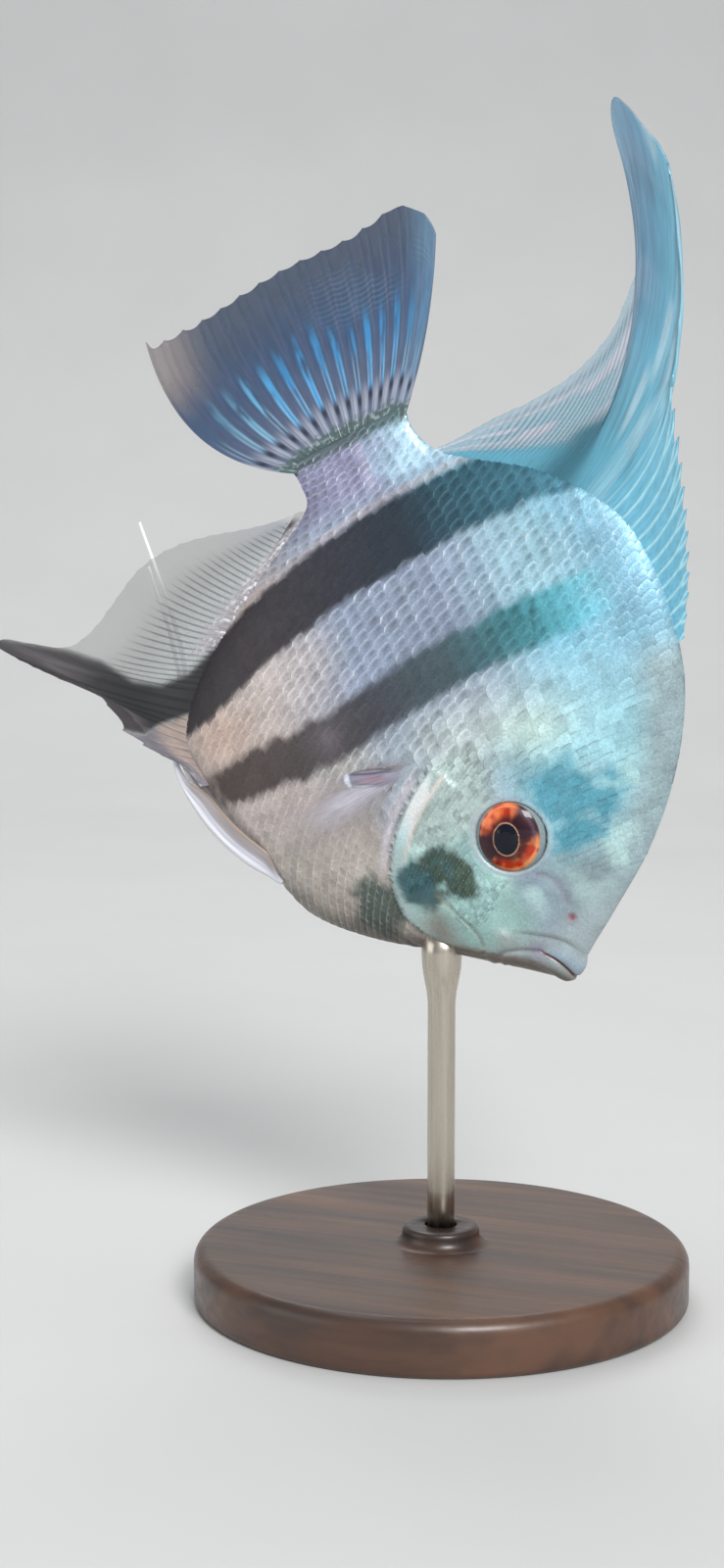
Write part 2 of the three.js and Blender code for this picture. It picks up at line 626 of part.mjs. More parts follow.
// The fish's solids in the stand's frame, to cut the rod to them.
function inStandFrame(shape) {
  fish.updateMatrixWorld(true)
  return shape.transform(fish.matrixWorld.toArray())
}

const angelfish = new THREE.Group()
angelfish.add(fish)
angelfish.add(named('stand_base', standBase(), { color: 0x3c3a38, roughness: 0.5, metalness: 0 }))
angelfish.add(named('stand_rod', standRod().subtract(inStandFrame(clearOfSkin)),
  { color: 0xb8b2a4, roughness: 0.3, metalness: 0.9 }))

export default angelfish
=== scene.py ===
# %% [markdown]
# # A young silver angelfish on a small stand
# The fish hangs nose down, as it swims when it searches the bottom for food. Its body is
# worked out from three curves, and it is then dressed as the real animal is: one skin, some
# thousands of separate scales, clear rayed fins, and two glossy eyes.
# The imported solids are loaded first, because they fix the size and place of every piece.

# %% Load the frame
import bpy
import numpy as np
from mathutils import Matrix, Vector


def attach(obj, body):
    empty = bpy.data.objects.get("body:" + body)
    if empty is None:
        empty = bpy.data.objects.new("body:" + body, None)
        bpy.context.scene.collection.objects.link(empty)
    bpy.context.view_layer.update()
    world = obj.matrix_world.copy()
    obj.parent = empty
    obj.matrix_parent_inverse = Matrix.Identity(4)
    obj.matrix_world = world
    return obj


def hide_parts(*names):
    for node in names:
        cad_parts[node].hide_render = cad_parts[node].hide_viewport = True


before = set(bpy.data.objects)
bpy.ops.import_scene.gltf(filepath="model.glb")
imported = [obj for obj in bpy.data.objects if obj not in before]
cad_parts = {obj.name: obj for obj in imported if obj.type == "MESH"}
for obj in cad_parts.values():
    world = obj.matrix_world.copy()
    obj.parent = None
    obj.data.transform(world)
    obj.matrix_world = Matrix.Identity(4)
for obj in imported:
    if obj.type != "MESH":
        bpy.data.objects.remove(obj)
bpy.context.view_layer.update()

# %% [markdown]
# ## The fish's own frame
# It is easier to think of a fish as it swims level: x runs from the snout to the tail, y from
# the belly to the back and z from the right flank to the left one, all in millimetres.
# One function turns such places nose down, over the stand, and into metres. Every piece is
# made in the fish's frame and passes through it, so each object itself stays at the origin.

# %% From the fish's frame to the stand's
NOSE_DOWN = np.radians(65.5)
LIP = np.array([15.56, 0, 36.87])
TAILWARD = np.array([-np.cos(NOSE_DOWN), 0, np.sin(NOSE_DOWN)])
BACKWARD = np.array([np.sin(NOSE_DOWN), 0, np.cos(NOSE_DOWN)])
LEFTWARD = np.array([0, 1, 0])
SIDES = (("right", -1), ("left", 1))


def to_stand(p):
    """Lip's place, plus x along the fish, y up its back and z to its left, in metres."""
    return (LIP + p[..., :1] * TAILWARD + p[..., 1:2] * BACKWARD + p[..., 2:] * LEFTWARD) / 1000


# %% [markdown]
# ## Smooth curves from a few numbers
# A body outline could be drawn by hand with a curve object. A short table of places with a
# smooth line through them says the same, can be read at any point, and is easy to correct.

# %% Tables and lines
def table(pairs, x):
    """A line through [place, value] pairs. Between two pairs it is the cubic whose slope at
    each pair is the slope from the pair before it to the pair after it."""
    pairs = np.asarray(pairs, float)
    at, value = pairs[:, 0], pairs[:, 1]
    last = len(at) - 1
    before, after = np.maximum(np.arange(last + 1) - 1, 0), np.minimum(np.arange(last + 1) + 1, last)
    slope = (value[after] - value[before]) / (at[after] - at[before])
    i = np.clip(np.searchsorted(at, x, side="right") - 1, 0, last - 1)
    d = at[i + 1] - at[i]
    t = np.clip((x - at[i]) / d, 0, 1)
    return ((2 * t**3 - 3 * t**2 + 1) * value[i] + (t**3 - 2 * t**2 + t) * d * slope[i]
            + (3 * t**2 - 2 * t**3) * value[i + 1] + (t**3 - t**2) * d * slope[i + 1])


def line_through(points, shares):
    """Places at shares of the length of a smooth line through points. Between two points it
    leaves and arrives in the direction that joins their two neighbours."""
    p = np.asarray(points, float)
    q = np.vstack([p[:1], p, p[-1:]])
    u = np.linspace(0, len(p) - 1, 60 * (len(p) - 1) + 1)
    i = np.minimum(u.astype(int), len(p) - 2)
    t = (u - i)[:, None]
    a, b, c, d = q[i], q[i + 1], q[i + 2], q[i + 3]
    line = b + (c - a) / 2 * t + (a - 2.5 * b + 2 * c - d / 2) * t**2 + (1.5 * (b - c) + (d - a) / 2) * t**3
    far = np.concatenate([[0], np.cumsum(np.linalg.norm(np.diff(line, axis=0), axis=1))])
    return np.stack([np.interp(np.asarray(shares) * far[-1], far, k) for k in line.T], -1)


def ramp(start, end, x):
    """0 at start, 1 at end, with a soft turn at both: 3t squared less 2t cubed."""
    t = np.clip((x - start) / (end - start), 0, 1)
    return t * t * (3 - 2 * t)


def bell(x, middle, width):
    """A soft bump of height 1: e to the power of minus the squared share of the width."""
    return np.exp(-(((x - middle) / width) ** 2))


def oval(x, y, along, up, long, tall):
    """Distance from an oval's middle as a share of its reach, so it is 1 on the oval itself."""
    return np.hypot((x - along) / long, (y - up) / tall)


def spot(x, y, along, up, long, tall):
    """A soft round bump of height 1: e to the power of minus the oval's squared share."""
    return np.exp(-oval(x, y, along, up, long, tall) ** 2)


def away(x, y, place):
    """How far places of the side view are from one of them, in a straight line."""
    return np.hypot(x - place[0], y - place[1])


def most(*shares):
    """The largest of several shares at each place."""
    return np.maximum.reduce(np.broadcast_arrays(*shares))


def distance(line, x, y):
    """How far places of the side view are from a bent line, how far along it, 0 to 1, the
    nearest point is, and 1 or -1 for the left or right side of it."""
    x, y = np.asarray(x, np.float32), np.asarray(y, np.float32)
    best, along, side = np.full(x.shape, 1e9, np.float32), np.zeros_like(x), np.ones_like(x)
    for k, (a, b) in enumerate(zip(line[:-1], line[1:])):
        d = b - a
        t = np.clip(((x - a[0]) * d[0] + (y - a[1]) * d[1]) / (d @ d), 0, 1)
        px, py = x - a[0] - t * d[0], y - a[1] - t * d[1]
        r = np.hypot(px, py)
        near = r < best
        best = np.where(near, r, best)
        along = np.where(near, (k + t) / (len(line) - 1), along)
        side = np.where(near, np.sign(d[0] * py - d[1] * px + 1e-12), side)
    return best, along, side


def cloud(x, y, size, seed):
    """A soft random field from -1 to 1: random numbers on a net of cells, blended between."""
    net = np.random.default_rng(seed).uniform(-1, 1, (256, 256))
    i, j = np.floor(x / size).astype(int), np.floor(y / size).astype(int)
    a, b = x / size - i, y / size - j
    a, b = a * a * (3 - 2 * a), b * b * (3 - 2 * b)
    low = net[i % 256, j % 256] * (1 - a) + net[(i + 1) % 256, j % 256] * a
    high = net[i % 256, (j + 1) % 256] * (1 - a) + net[(i + 1) % 256, (j + 1) % 256] * a
    return low * (1 - b) + high * b


# %% [markdown]
# ## The body's form
# Seen from the side the fish is a tall disc, and seen from the front a thin lens. Three tables
# give the back, the belly and the half width along the body. The flank between them follows
# one rule at every station, so the form has no flats or lumps.

# %% Outlines
BACK = [[-0.3, -0.75], [0, 0], [1.6, 1.95], [4.5, 6.1], [9, 12.1], [15.4, 18.1], [22.7, 22.45],
        [29, 24.2], [36, 24.9], [43.1, 23.5], [50.5, 17.5], [56.6, 8.4], [60, 6.5], [62.6, 6.6]]
BELLY = [[-0.3, -0.85], [0, -1.8], [2.8, -6.1], [4.4, -8.9], [7.5, -13.7], [12.1, -21],
         [16.7, -26.1], [22, -28.5], [28.7, -30.9], [36, -32.2], [41, -32.2], [46.6, -27.1],
         [52.9, -16.9], [57.3, -8.6], [60, -7.9], [62.6, -8.3]]
HALF_WIDTH = [[-0.3, 0.2], [0, 0.85], [1.2, 1.6], [3, 2.3], [6, 3.1], [10, 4.15], [16, 5.4],
              [22, 6.1], [27, 6.25], [34, 5.9], [42, 4.8], [50, 3.3], [56, 2.2], [60, 1.6],
              [62.6, 0.95]]
SNOUT_END, STALK_END = BACK[0][0], BACK[-1][0]
ROUNDNESS, PLUMPNESS = 1.9, 0.72


def share_of_width(t):
    """The flank's rule: one less a power of the height's share, to the power of plumpness."""
    return np.maximum(1 - np.abs(t) ** ROUNDNESS, 0) ** PLUMPNESS


def flank(x, y):
    """Distance of the flank from the middle plane at a place of the side view."""
    low, high = table(BELLY, x), table(BACK, x)
    return table(HALF_WIDTH, x) * share_of_width(np.clip((2 * y - low - high) / (high - low), -1, 1))


# %% [markdown]
# ## What stands out of that form on the head
# The head has lips, folds, a nostril, the rim round the eye and the free edge of the gill
# cover. They could be sculpted, but each is simply a line or a spot of the side view with a
# height beside it, so one function adds them up as a relief on the skin.

# %% Lines of the head
EYE_AT = np.array([15.98, 0.6])
NOSTRIL_AT = np.array([5.8, 2.45])
JAW_KNOB = np.array([6.9, -5.1])
MANY = np.linspace(0, 1, 25)
FEW = MANY[::2]
MOUTH = line_through([[-1.5, -0.45], [0, -0.45], [1.4, -0.75], [2.5, -1.3], [3.5, -2.2]], FEW)
LIP_FOLD = line_through([[0.9, 1.9], [2, 1.55], [3.35, 0.9], [4.7, -0.5], [5.8, -2.4], [6.8, -4.5]], FEW)
JAW_FOLD = line_through([[3.6, -2.3], [4.5, -4.4], [4.9, -6.6], [4.2, -9]], FEW)
SNOUT_GROOVE = line_through([[11.4, 1.2], [10.6, 2.3], [9.2, 2.8], [7.4, 2.7]], FEW)
CHEEK_EDGE = line_through([[21, -4.2], [19.2, -6.8], [16.4, -9.2], [13.4, -9.7], [11.2, -8.9],
                           [8, -8], [6.5, -8.2]], MANY)
GILL_EDGE = line_through([[26.3, -3.7], [25, -6], [23.1, -8.8], [20.3, -11.8], [16.7, -14],
                          [12.6, -14.7], [9.4, -13.2], [7.4, -11.1], [6.1, -8.9]], MANY)


def gill_place(x, y):
    """How far in from the gill cover's free edge a place lies, a fade at the edge's two
    ends, and how far along the edge the place is."""
    far, along, side = distance(GILL_EDGE, x, y)
    return -side * far, ramp(0, 0.03, along) * ramp(1, 0.86, along), along


# %% Heights beside those lines
def gill_relief(x, y):
    """The gill cover's free edge, the bone inside it, and the fine folds of the throat."""
    inward, fade, along = gill_place(x, y)
    step = ramp(-0.02, 0.25, inward) * np.exp(-np.maximum(inward - 0.25, 0) / 4.5)
    bone = ramp(1.45, 1.85, inward) * np.exp(-np.maximum(inward - 1.8, 0) / 3) * ramp(0.55, 0.35, along)
    throat = ramp(0, -0.6, inward) * ramp(-4, -3, inward) * ramp(13, 9, x) * ramp(-6, -8, y)
    edge = fade * (0.32 * step + 0.14 * bone - 0.2 * bell(inward, -0.18, 0.3))
    return edge - 0.07 * throat * (1 - np.cos(2 * np.pi * inward / 0.95))


def mouth_relief(x, y):
    """Two lips, each an arch over the distance from the mouth's line, and the line itself."""
    far, side = distance(MOUTH, x, y)[::2]
    upper, lower = (np.clip(far / broad, 0, 1) * at for broad, at in ((2.1, side > 0), (1.9, side < 0)))
    lips = 0.36 * (4 * upper * (1 - upper)) ** 0.7 + 0.34 * (4 * lower * (1 - lower)) ** 0.7
    return lips * ramp(3.9, 1.6, x) - 0.36 * bell(far, 0, 0.1) * ramp(3.9, 3.2, x)


def fold_relief(x, y):
    """Each fold is a groove along its line. Two of them have a raised side, which falls off
    with the distance."""
    cheek, cheek_along, cheek_side = distance(CHEEK_EDGE, x, y)
    jaw, jaw_along = distance(JAW_FOLD, x, y)[:2]
    lip, lip_along, lip_side = distance(LIP_FOLD, x, y)
    cheek_rise = 0.1 * (cheek_side < 0) * np.exp(-cheek / 1.2) - 0.16 * bell(cheek, 0, 0.22)
    lip_rise = 0.05 * (lip_side > 0) * np.exp(-lip / 0.6) - 0.1 * bell(lip, 0, 0.3) * ramp(0, 0.4, lip_along)
    return (ramp(0, 0.12, cheek_along) * cheek_rise + ramp(1, 0.75, lip_along) * lip_rise
            - 0.14 * bell(jaw, 0, 0.3) * ramp(1, 0.7, jaw_along)
            - 0.13 * bell(distance(SNOUT_GROOVE, x, y)[0], 0, 0.4))


def relief(x, y):
    """Height of the skin over the plain form, in mm: the sum of rims, folds, lips and pits."""
    eye, pit = away(x, y, EYE_AT), away(x, y, NOSTRIL_AT)
    eye_ring = 0.14 * bell(eye, 4.5, 0.6) + 0.12 * bell(eye, 3.98, 0.2) - 2 * ramp(3.78, 3.38, eye)
    nostril = 0.04 * bell(pit, 0.62, 0.2) - 0.16 * bell(pit, 0, 0.36)
    cheek = 0.22 * spot(x, y, 13, -6.3, 4, 2.6) + 0.12 * np.exp(-away(x, y, JAW_KNOB) ** 2 / 0.3)
    return eye_ring + nostril + cheek + gill_relief(x, y) + fold_relief(x, y) + mouth_relief(x, y)


# %% Relief looked up quickly
COAT_DEPTH = 0.12
MAP_STEP = 0.08
map_x, map_y = np.arange(-1, 64, MAP_STEP), np.arange(-34, 27, MAP_STEP)
RELIEF_MAP = relief(*np.meshgrid(map_x, map_y, indexing="ij"))


def relief_at(x, y):
    """The relief between four places of the map, blended by how near each is."""
    u, v = (x - map_x[0]) / MAP_STEP, (y - map_y[0]) / MAP_STEP
    i, j = np.clip(u.astype(int), 0, len(map_x) - 2), np.clip(v.astype(int), 0, len(map_y) - 2)
    a, b = u - i, v - j
    return ((RELIEF_MAP[i, j] * (1 - a) + RELIEF_MAP[i + 1, j] * a) * (1 - b)
            + (RELIEF_MAP[i, j + 1] * (1 - a) + RELIEF_MAP[i + 1, j + 1] * a) * b)


def lean(x, y, d=0.15):
    """How the flank's square direction leans along and up the body: less its two slopes,
    each read over d to both sides."""
    along = (flank(x - d, y) - flank(x + d, y)) / (2 * d)
    return along, (flank(x, y - d) - flank(x, y + d)) / (2 * d)


def on_skin(x, y, side, lift):
    """Places a lift above the skin: the flank's point, moved out along its square direction."""
    y = np.clip(y, table(BELLY, x) + 0.02, table(BACK, x) - 0.02)
    lean_x, lean_y = lean(x, y)
    rise = (relief_at(x, y) - COAT_DEPTH + lift) / np.sqrt(1 + lean_x**2 + lean_y**2)
    return np.stack([x + lean_x * rise, y + lean_y * rise, side * (flank(x, y) + rise)], -1)


print("relief from", round(float(RELIEF_MAP.min()), 2), "to", round(float(RELIEF_MAP.max()), 2), "mm")

# %% [markdown]
# ## Colours of the living fish
# A silver angelfish is lilac silver on the flank, sea green on the back and nape and beige at
# the belly, with dark bars across. The bars and patches are painted by rules in the fish's own
# frame, so the skin and each scale on it take the same marking. An image could carry them
# too, but it would stretch where the body turns away, and it couldn't be varied.
# Some layers are painted light rather than colour: sheens and glints on the silver and the fins, and shade
# on the throat, the keel and the scales.

# %% Paints
def rgb(r, g, b):
    """A screen colour, 0 to 255, as the linear numbers that light is summed in."""
    c = np.array([r, g, b]) / 255
    return np.where(c <= 0.04045, c / 12.92, ((c + 0.055) / 1.055) ** 2.4)


def lay(under, over, share):
    """One paint over another: a share of the upper one and the rest of the lower one."""
    share = np.asarray(share, float)[..., None]
    return under * (1 - share) + over * share


def coats(colour, *layers):
    """Paints laid one over another: each layer is a paint and the share that it covers."""
    for over, share in layers:
        colour = lay(colour, over, share)
    return colour


# %% Places of bars, blotch and tints
# Each bar is a line up the body, given as height and place along, and paints at six heights.
BAR_REAR = [[-36, 43.6], [-28.6, 44.4], [-23.5, 45.5], [-18.7, 47.2], [-14, 48], [-8, 49.2],
            [-2, 50], [4.4, 50.5], [10, 50.8], [17, 50.6], [20, 50.2]]
BAR_MIDDLE = [[-30, 33.4], [-19, 33], [-12.3, 33.2], [-5.3, 34.3], [1, 35.1], [10, 35.6], [22, 35.8]]
REAR_HALF_WIDTH = 3.9
HEIGHTS = np.array([-32.0, -20, -8, 2, 10, 18])
REAR_PAINTS = np.array([rgb(40, 38, 42), rgb(42, 37, 42), rgb(38, 37, 46), rgb(35, 46, 56),
                        rgb(43, 82, 97), rgb(54, 104, 122)])
MIDDLE_PAINTS = np.array([rgb(72, 62, 58), rgb(68, 60, 60), rgb(60, 60, 66), rgb(68, 87, 93),
                          rgb(54, 116, 124), rgb(96, 184, 202)])
# A short, thin dark line that runs across the middle bar's upper part.
DARK_LINE = np.array([[38.2, 13], [37.1, 12.2], [36.4, 11.8], [34.9, 11.7], [33, 10.6]])
# The place behind the gill cover that glitters, and how far that reaches along and up. Its scales stray and
# tilt more, and a paler sheen and more glints are painted there.
GLITTER = (27, 1, 5, 9)
# The lobes that join to one dark blotch on the cheek: a place and the reach along and up.
LOBES = [(14.3, -6.7, 2.9, 2), (14.9, -11.2, 3, 2.4), (16.3, -8.4, 2, 2)]
# Soft local tints: a place, the reach along and up, and the share of red, green and blue kept.
TINTS = [(39, 22, 9, 5, 0.7, 0.72, 0.75), (25, 21.5, 6, 4, 0.82, 0.82, 0.82),
         (59, 3, 2.5, 3, 0.9, 0.87, 0.92), (29.5, -3, 2.5, 2.5, 0.9, 0.9, 0.88),
         (15.5, -21, 5, 2.6, 0.76, 0.74, 0.72), (17, 17.5, 5, 3, 0.9, 0.9, 0.9),
         (23, 4.6, 2.2, 2.2, 0.83, 0.83, 0.85), (10.9, -11.3, 2.2, 1.8, 0.8, 0.68, 0.66),
         (29, -12.3, 4, 3.5, 1.2, 1.2, 1.12), (9, -1.9, 2.6, 2.2, 0.88, 0.87, 0.86),
         (8.4, 6.6, 3, 2.6, 0.85, 0.83, 0.84), (5.6, -5.2, 1.6, 1.6, 0.95, 0.82, 0.8)]


def by_height(paints, y):
    """A paint that changes with the height, blended between six given ones."""
    return np.stack([np.interp(y, HEIGHTS, paints[:, k]) for k in range(3)], -1)


def bars(x, y):
    """The strength of the rear bar and of the middle bar at a place."""
    wave = 0.25 * cloud(x, y, 1.7, 3) + 0.15 * cloud(x, y, 0.6, 23)
    rear = ramp(REAR_HALF_WIDTH, 3.1, np.abs(x - table(BAR_REAR, y) + wave))
    wave = wave * (1 + ramp(-8, -20, y))
    middle = ramp(3.15, 2.0, np.abs(x - table(BAR_MIDDLE, y) + wave) + 0.8 * ramp(-25, -32, y))
    return rear, middle * ramp(21, 14, y) ** 0.7 * ramp(-33.6, -30.2, y + 2 * wave)


# %% The skin's layers, from the ground up
def ground(x, y, inside):
    """Silver of flank, back and belly, then of head, breast and tail stalk, softly clouded."""
    under_back, over_belly = table(BACK, x) - y, y - table(BELLY, x)
    cheek = ramp(22, 17, x) * ramp(5, 9, x) * np.maximum(inside, y > -6)
    dapple, stalk = cloud(x, y, 2.4, 7), ramp(54, 57, x)
    c = coats(
        rgb(136, 148, 168),
        # Back, belly, the warmer place of the flank, a painted sheen where the flank glitters, and a painted
        # cyan highlight on the nape and upper flank
        (rgb(152, 190, 203), ramp(3, 15, y)),
        (rgb(182, 172, 168), ramp(-6, -20, y + 2 * cloud(x, y, 6, 1))),
        (rgb(192, 164, 146), 0.7 * spot(x, y, 38.5, -27, 3.5, 5)),
        (rgb(190, 202, 202), 0.9 * spot(x, y, *GLITTER)),
        (rgb(148, 200, 216), 0.75 * spot(x, y, 28, 15, 10, 7)),
        # Upper head, snout, forehead, the back under its fin, nape and shoulder, with a painted sheen on the
        # shoulder
        (rgb(154, 202, 212), ramp(28, 21, x) * ramp(-1, 6, y)),
        (rgb(138, 156, 161), ramp(17, 8, x) * ramp(-2, 4, y)),
        (rgb(158, 180, 185), ramp(33, 26, x) * ramp(6, 2, under_back)),
        (rgb(122, 172, 192), 0.85 * ramp(26, 31, x) * ramp(10, 3, under_back)),
        (rgb(198, 222, 208), 0.6 * spot(x, y, 25.3, 7.5, 3, 4.5)),
        (rgb(112, 190, 220), 0.5 * spot(x, y, 33, 14.5, 2.4, 4)),
        # Cheek, gill cover, breast, lips, chin, and the dapples of the cheek
        (rgb(160, 198, 194), ramp(22, 18, x) * ramp(1, -3, y) * inside),
        (rgb(168, 186, 182), ramp(16.5, 19.5, x) * ramp(3, -1, y) * inside),
        (rgb(182, 174, 166), ramp(28, 22, x) * ramp(-11, -15, y) * ~inside),
        (rgb(156, 170, 174), ramp(8, 3.5, x)),
        (rgb(150, 146, 138), ramp(4.2, 2.2, over_belly) * ramp(13, 9, x) * ramp(1, 3, x)),
        (rgb(196, 232, 226), 0.45 * ramp(0, 0.8, dapple) * cheek),
        (rgb(136, 162, 166), 0.35 * ramp(-0.2, -0.7, dapple) * cheek),
        # Tail stalk, its upper half, and the line of pores along it
        (rgb(140, 140, 168), stalk),
        (rgb(166, 198, 214), stalk * ramp(-0.5, 5, y + 1.2 * cloud(x, y, 1.4, 22))),
        (rgb(196, 194, 216), 0.7 * ramp(55, 56.5, x) * bell(y, 0.4, 0.28)))
    clouds = 0.1 * cloud(x, y, 2.6, 5) + 0.07 * cloud(x, y, 0.9, 6) + 0.05 * cloud(x, y, 0.4, 16)
    return c * (1 + clouds)[..., None]


# %% Gill cover, brow, cheek and breast
def gill_strip(c, x, y, inward, fade, along):
    """The bright strip inside the gill cover's free edge, with a painted gleam along that edge and a painted
    shadow just outside it.
    """
    inner = 1.75 * (0.5 + 0.5 * ramp(0, 0.16, along)) + 0.2 * cloud(x, y, 1, 24)
    strip = ramp(0.15, 0.4, inward) * ramp(inner, inner - 0.3, inward) * fade * ramp(0, 0.1, along)
    fold = fade * bell(inward, -0.85, 0.5) * ramp(0.06, 0.14, along) * ramp(0.55, 0.4, along)
    return coats(
        c, (rgb(172, 226, 232), strip * ramp(0.46, 0.3, along) * (0.7 + 0.3 * cloud(x, y, 0.8, 19))),
        (rgb(228, 226, 226), 0.85 * strip * ramp(0.4, 0.2, along)),
        (rgb(206, 200, 208), 0.8 * fold),
        (rgb(168, 184, 184), 0.6 * strip * ramp(0.3, 0.42, along)),
        (rgb(228, 214, 206), 0.75 * fade * bell(inward, 1.75, 0.26) * ramp(0.5, 0.3, along)),
        # A painted gleam along the free edge, and a painted shadow just outside it.
        (rgb(196, 206, 206), 0.6 * fade * bell(inward, 0.08, 0.16)),
        (rgb(90, 100, 100), 0.55 * fade * bell(inward, -0.22, 0.16)))


def patches(c, x, y, inward, inside):
    """The blue brow, the cheek's dark blotch, painted shade along the keel and the dark breast. The lobes
    of the blotch join as the logarithm of their summed powers, which rounds the corners."""
    clear_of_eye = away(x, y, EYE_AT)
    brow = oval(x, y, 17, 7.9, 5, 5.6) + 0.45 * cloud(x, y, 2.2, 8) + 0.2 * cloud(x, y, 0.8, 18)
    joined = -np.log(sum(np.exp(-5 * oval(x, y, *lobe)) for lobe in LOBES)) / 5
    joined = joined + 0.16 * cloud(x, y, 1.3, 9) + 0.1 * cloud(x, y, 0.45, 25)
    green = ramp(-0.9, 0.9, cloud(x, y, 1.2, 12) + 0.35 * (y + 8.9))
    tone = lay(rgb(46, 85, 92), rgb(54, 70, 54), green) * (1 + 0.25 * cloud(x, y, 0.7, 13))[..., None]
    cheek_edge = bell(distance(CHEEK_EDGE, x, y)[0], 0.12, 0.18) * ramp(14.5, 12, x)
    keel = ramp(4.5, 1, y - table(BELLY, x)) * ramp(24, 19, x) * ~inside
    breast = oval(x, y, 14.6, -16.6, 3.8, 3.6) + 0.3 * cloud(x, y, 1.6, 14) + 0.15 * cloud(x, y, 0.5, 26)
    return coats(
        c, (rgb(74, 148, 168), 0.9 * ramp(1.25, 0.45, brow) * ramp(4.1, 4.6, clear_of_eye)),
        (tone, 0.95 * ramp(1.15, 0.7, joined) * ramp(4.1, 4.8, clear_of_eye)),
        (rgb(172, 184, 172), 0.55 * cheek_edge),
        # Painted shade along the keel, the lower edge of the breast.
        (rgb(118, 114, 108), 0.85 * keel),
        (rgb(66, 82, 76), 0.9 * ramp(1.15, 0.55, breast) * ramp(0.15, -0.2, inward)))


# %% Face, and all layers together
def face(c, x, y, inside):
    """The rings of the eye, painted shade on the throat, the folds, the lips, a painted gleam on the jaw's
    knob, and the nostril.
    """
    eye, pit = away(x, y, EYE_AT), away(x, y, NOSTRIL_AT)
    fold, fold_along = distance(LIP_FOLD, x, y)[:2]
    mouth, mouth_side = distance(MOUTH, x, y)[::2]
    return coats(
        c, (rgb(172, 170, 190), bell(eye, 4.0, 0.32) * (0.3 + 0.3 * ramp(2, -3, y))),
        (rgb(172, 190, 184), 0.7 * bell(eye, 3.75, 0.2)),
        # Painted shade on the throat.
        (rgb(146, 146, 138), 0.8 * spot(x, y, 9.6, -11.6, 2.2, 1.6) * inside),
        (rgb(142, 140, 160), 0.6 * bell(distance(SNOUT_GROOVE, x, y)[0], 0, 0.45)),
        (rgb(112, 116, 118), 0.6 * bell(fold, 0, 0.3) * ramp(1, 0.6, fold_along) * ramp(0, 0.5, fold_along)),
        (rgb(150, 172, 188), 0.6 * ramp(2, 1, mouth) * (mouth_side > 0) * ramp(4.4, 2.5, x)),
        (rgb(142, 128, 150), 0.65 * spot(x, y, 4.1, -2.5, 1.1, 1.1)),
        # A painted gleam on the jaw's knob.
        (rgb(206, 226, 224), 0.7 * np.exp(-away(x, y, JAW_KNOB) ** 2 / 0.4)),
        (rgb(150, 104, 98), 0.85 * bell(mouth, 0, 0.14) * ramp(4, 3.2, x)),
        (rgb(146, 158, 162), 0.5 * bell(pit, 0.6, 0.25)),
        (rgb(140, 78, 94), 0.95 * bell(pit, 0, 0.44)))


def paint(x, y):
    """The skin's colour at a place of the side view: the layers above, the local tints, the
    two bars with a pale line behind the rear one, and the dark foot of the tail fin."""
    inward, fade, along = gill_place(x, y)
    inside = (inward > 0) & (x < 26.5)
    c = gill_strip(ground(x, y, inside), x, y, inward, fade, along)
    c = face(patches(c, x, y, inward, inside), x, y, inside)
    for *place_and_reach, red, green, blue in TINTS:
        kept = np.array([red, green, blue])
        c = c * (1 + (kept - 1) * spot(x, y, *place_and_reach)[..., None])
    rear, middle = bars(x, y)
    behind = bell(np.abs(x - table(BAR_REAR, y) - REAR_HALF_WIDTH), 0, 0.45)
    line_far, line_along = distance(DARK_LINE, x, y)[:2]
    return coats(
        c, (rgb(190, 172, 166), 0.45 * behind * ramp(-27, -22, y) * ramp(16, 10, y)),
        (by_height(MIDDLE_PAINTS, y), 0.95 * middle),
        (rgb(112, 104, 110), 0.6 * middle * spot(x, y, 33.3, -14.5, 1.6, 2)),
        (by_height(REAR_PAINTS, y), 0.97 * rear),
        # The short, thin dark line on the middle bar.
        (rgb(28, 56, 62), 0.75 * bell(line_far, 0, 0.16) * bell(line_along, 0.5, 0.4)),
        (rgb(60, 84, 80), 0.85 * ramp(60.9, 61.8, x + 0.3 * cloud(x, y, 1, 4))))


# %% [markdown]
# ## From arrays to Blender's mesh
# Every piece below is two arrays, places and faces, and a few values that each vertex keeps
# for its material. One helper puts them into a mesh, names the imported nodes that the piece
# stands for and lets it ride on the model.

# %% Mesh helpers
def grid_faces(rows, columns, wrap=False):
    """Four-cornered faces between neighbouring rows and columns of numbered places."""
    n = np.arange(rows * columns).reshape(rows, columns)
    if wrap:
        n = np.hstack([n, n[:, :1]])
    return np.stack([n[:-1, :-1], n[1:, :-1], n[1:, 1:], n[:-1, 1:]], -1).reshape(-1, 4)


def outward(points, faces):
    """The faces turned round, if their signed volumes add up to less than nothing."""
    a, b, c = points[faces[:, 0]], points[faces[:, 1]], points[faces[:, 2]]
    volume = (a * np.cross(b, c)).sum()
    if faces.shape[1] == 4:
        volume += (a * np.cross(c, points[faces[:, 3]])).sum()
    return faces if volume > 0 else faces[:, ::-1]


def closed_rings(points, rows, count):
    """Faces between rows of rings, count places round each, and a fan at each end. The two
    fans' own places are the last two points."""
    net, ring, end = grid_faces(rows, count, wrap=True), np.arange(count), rows * count
    after = np.roll(ring, -1)
    caps = np.vstack([np.stack([np.full(count, end), ring, after], -1),
                      np.stack([np.full(count, end + 1), after + end - count, ring + end - count], -1)])
    turned = outward(points, net)
    return [turned, caps if turned is net else caps[:, ::-1]]


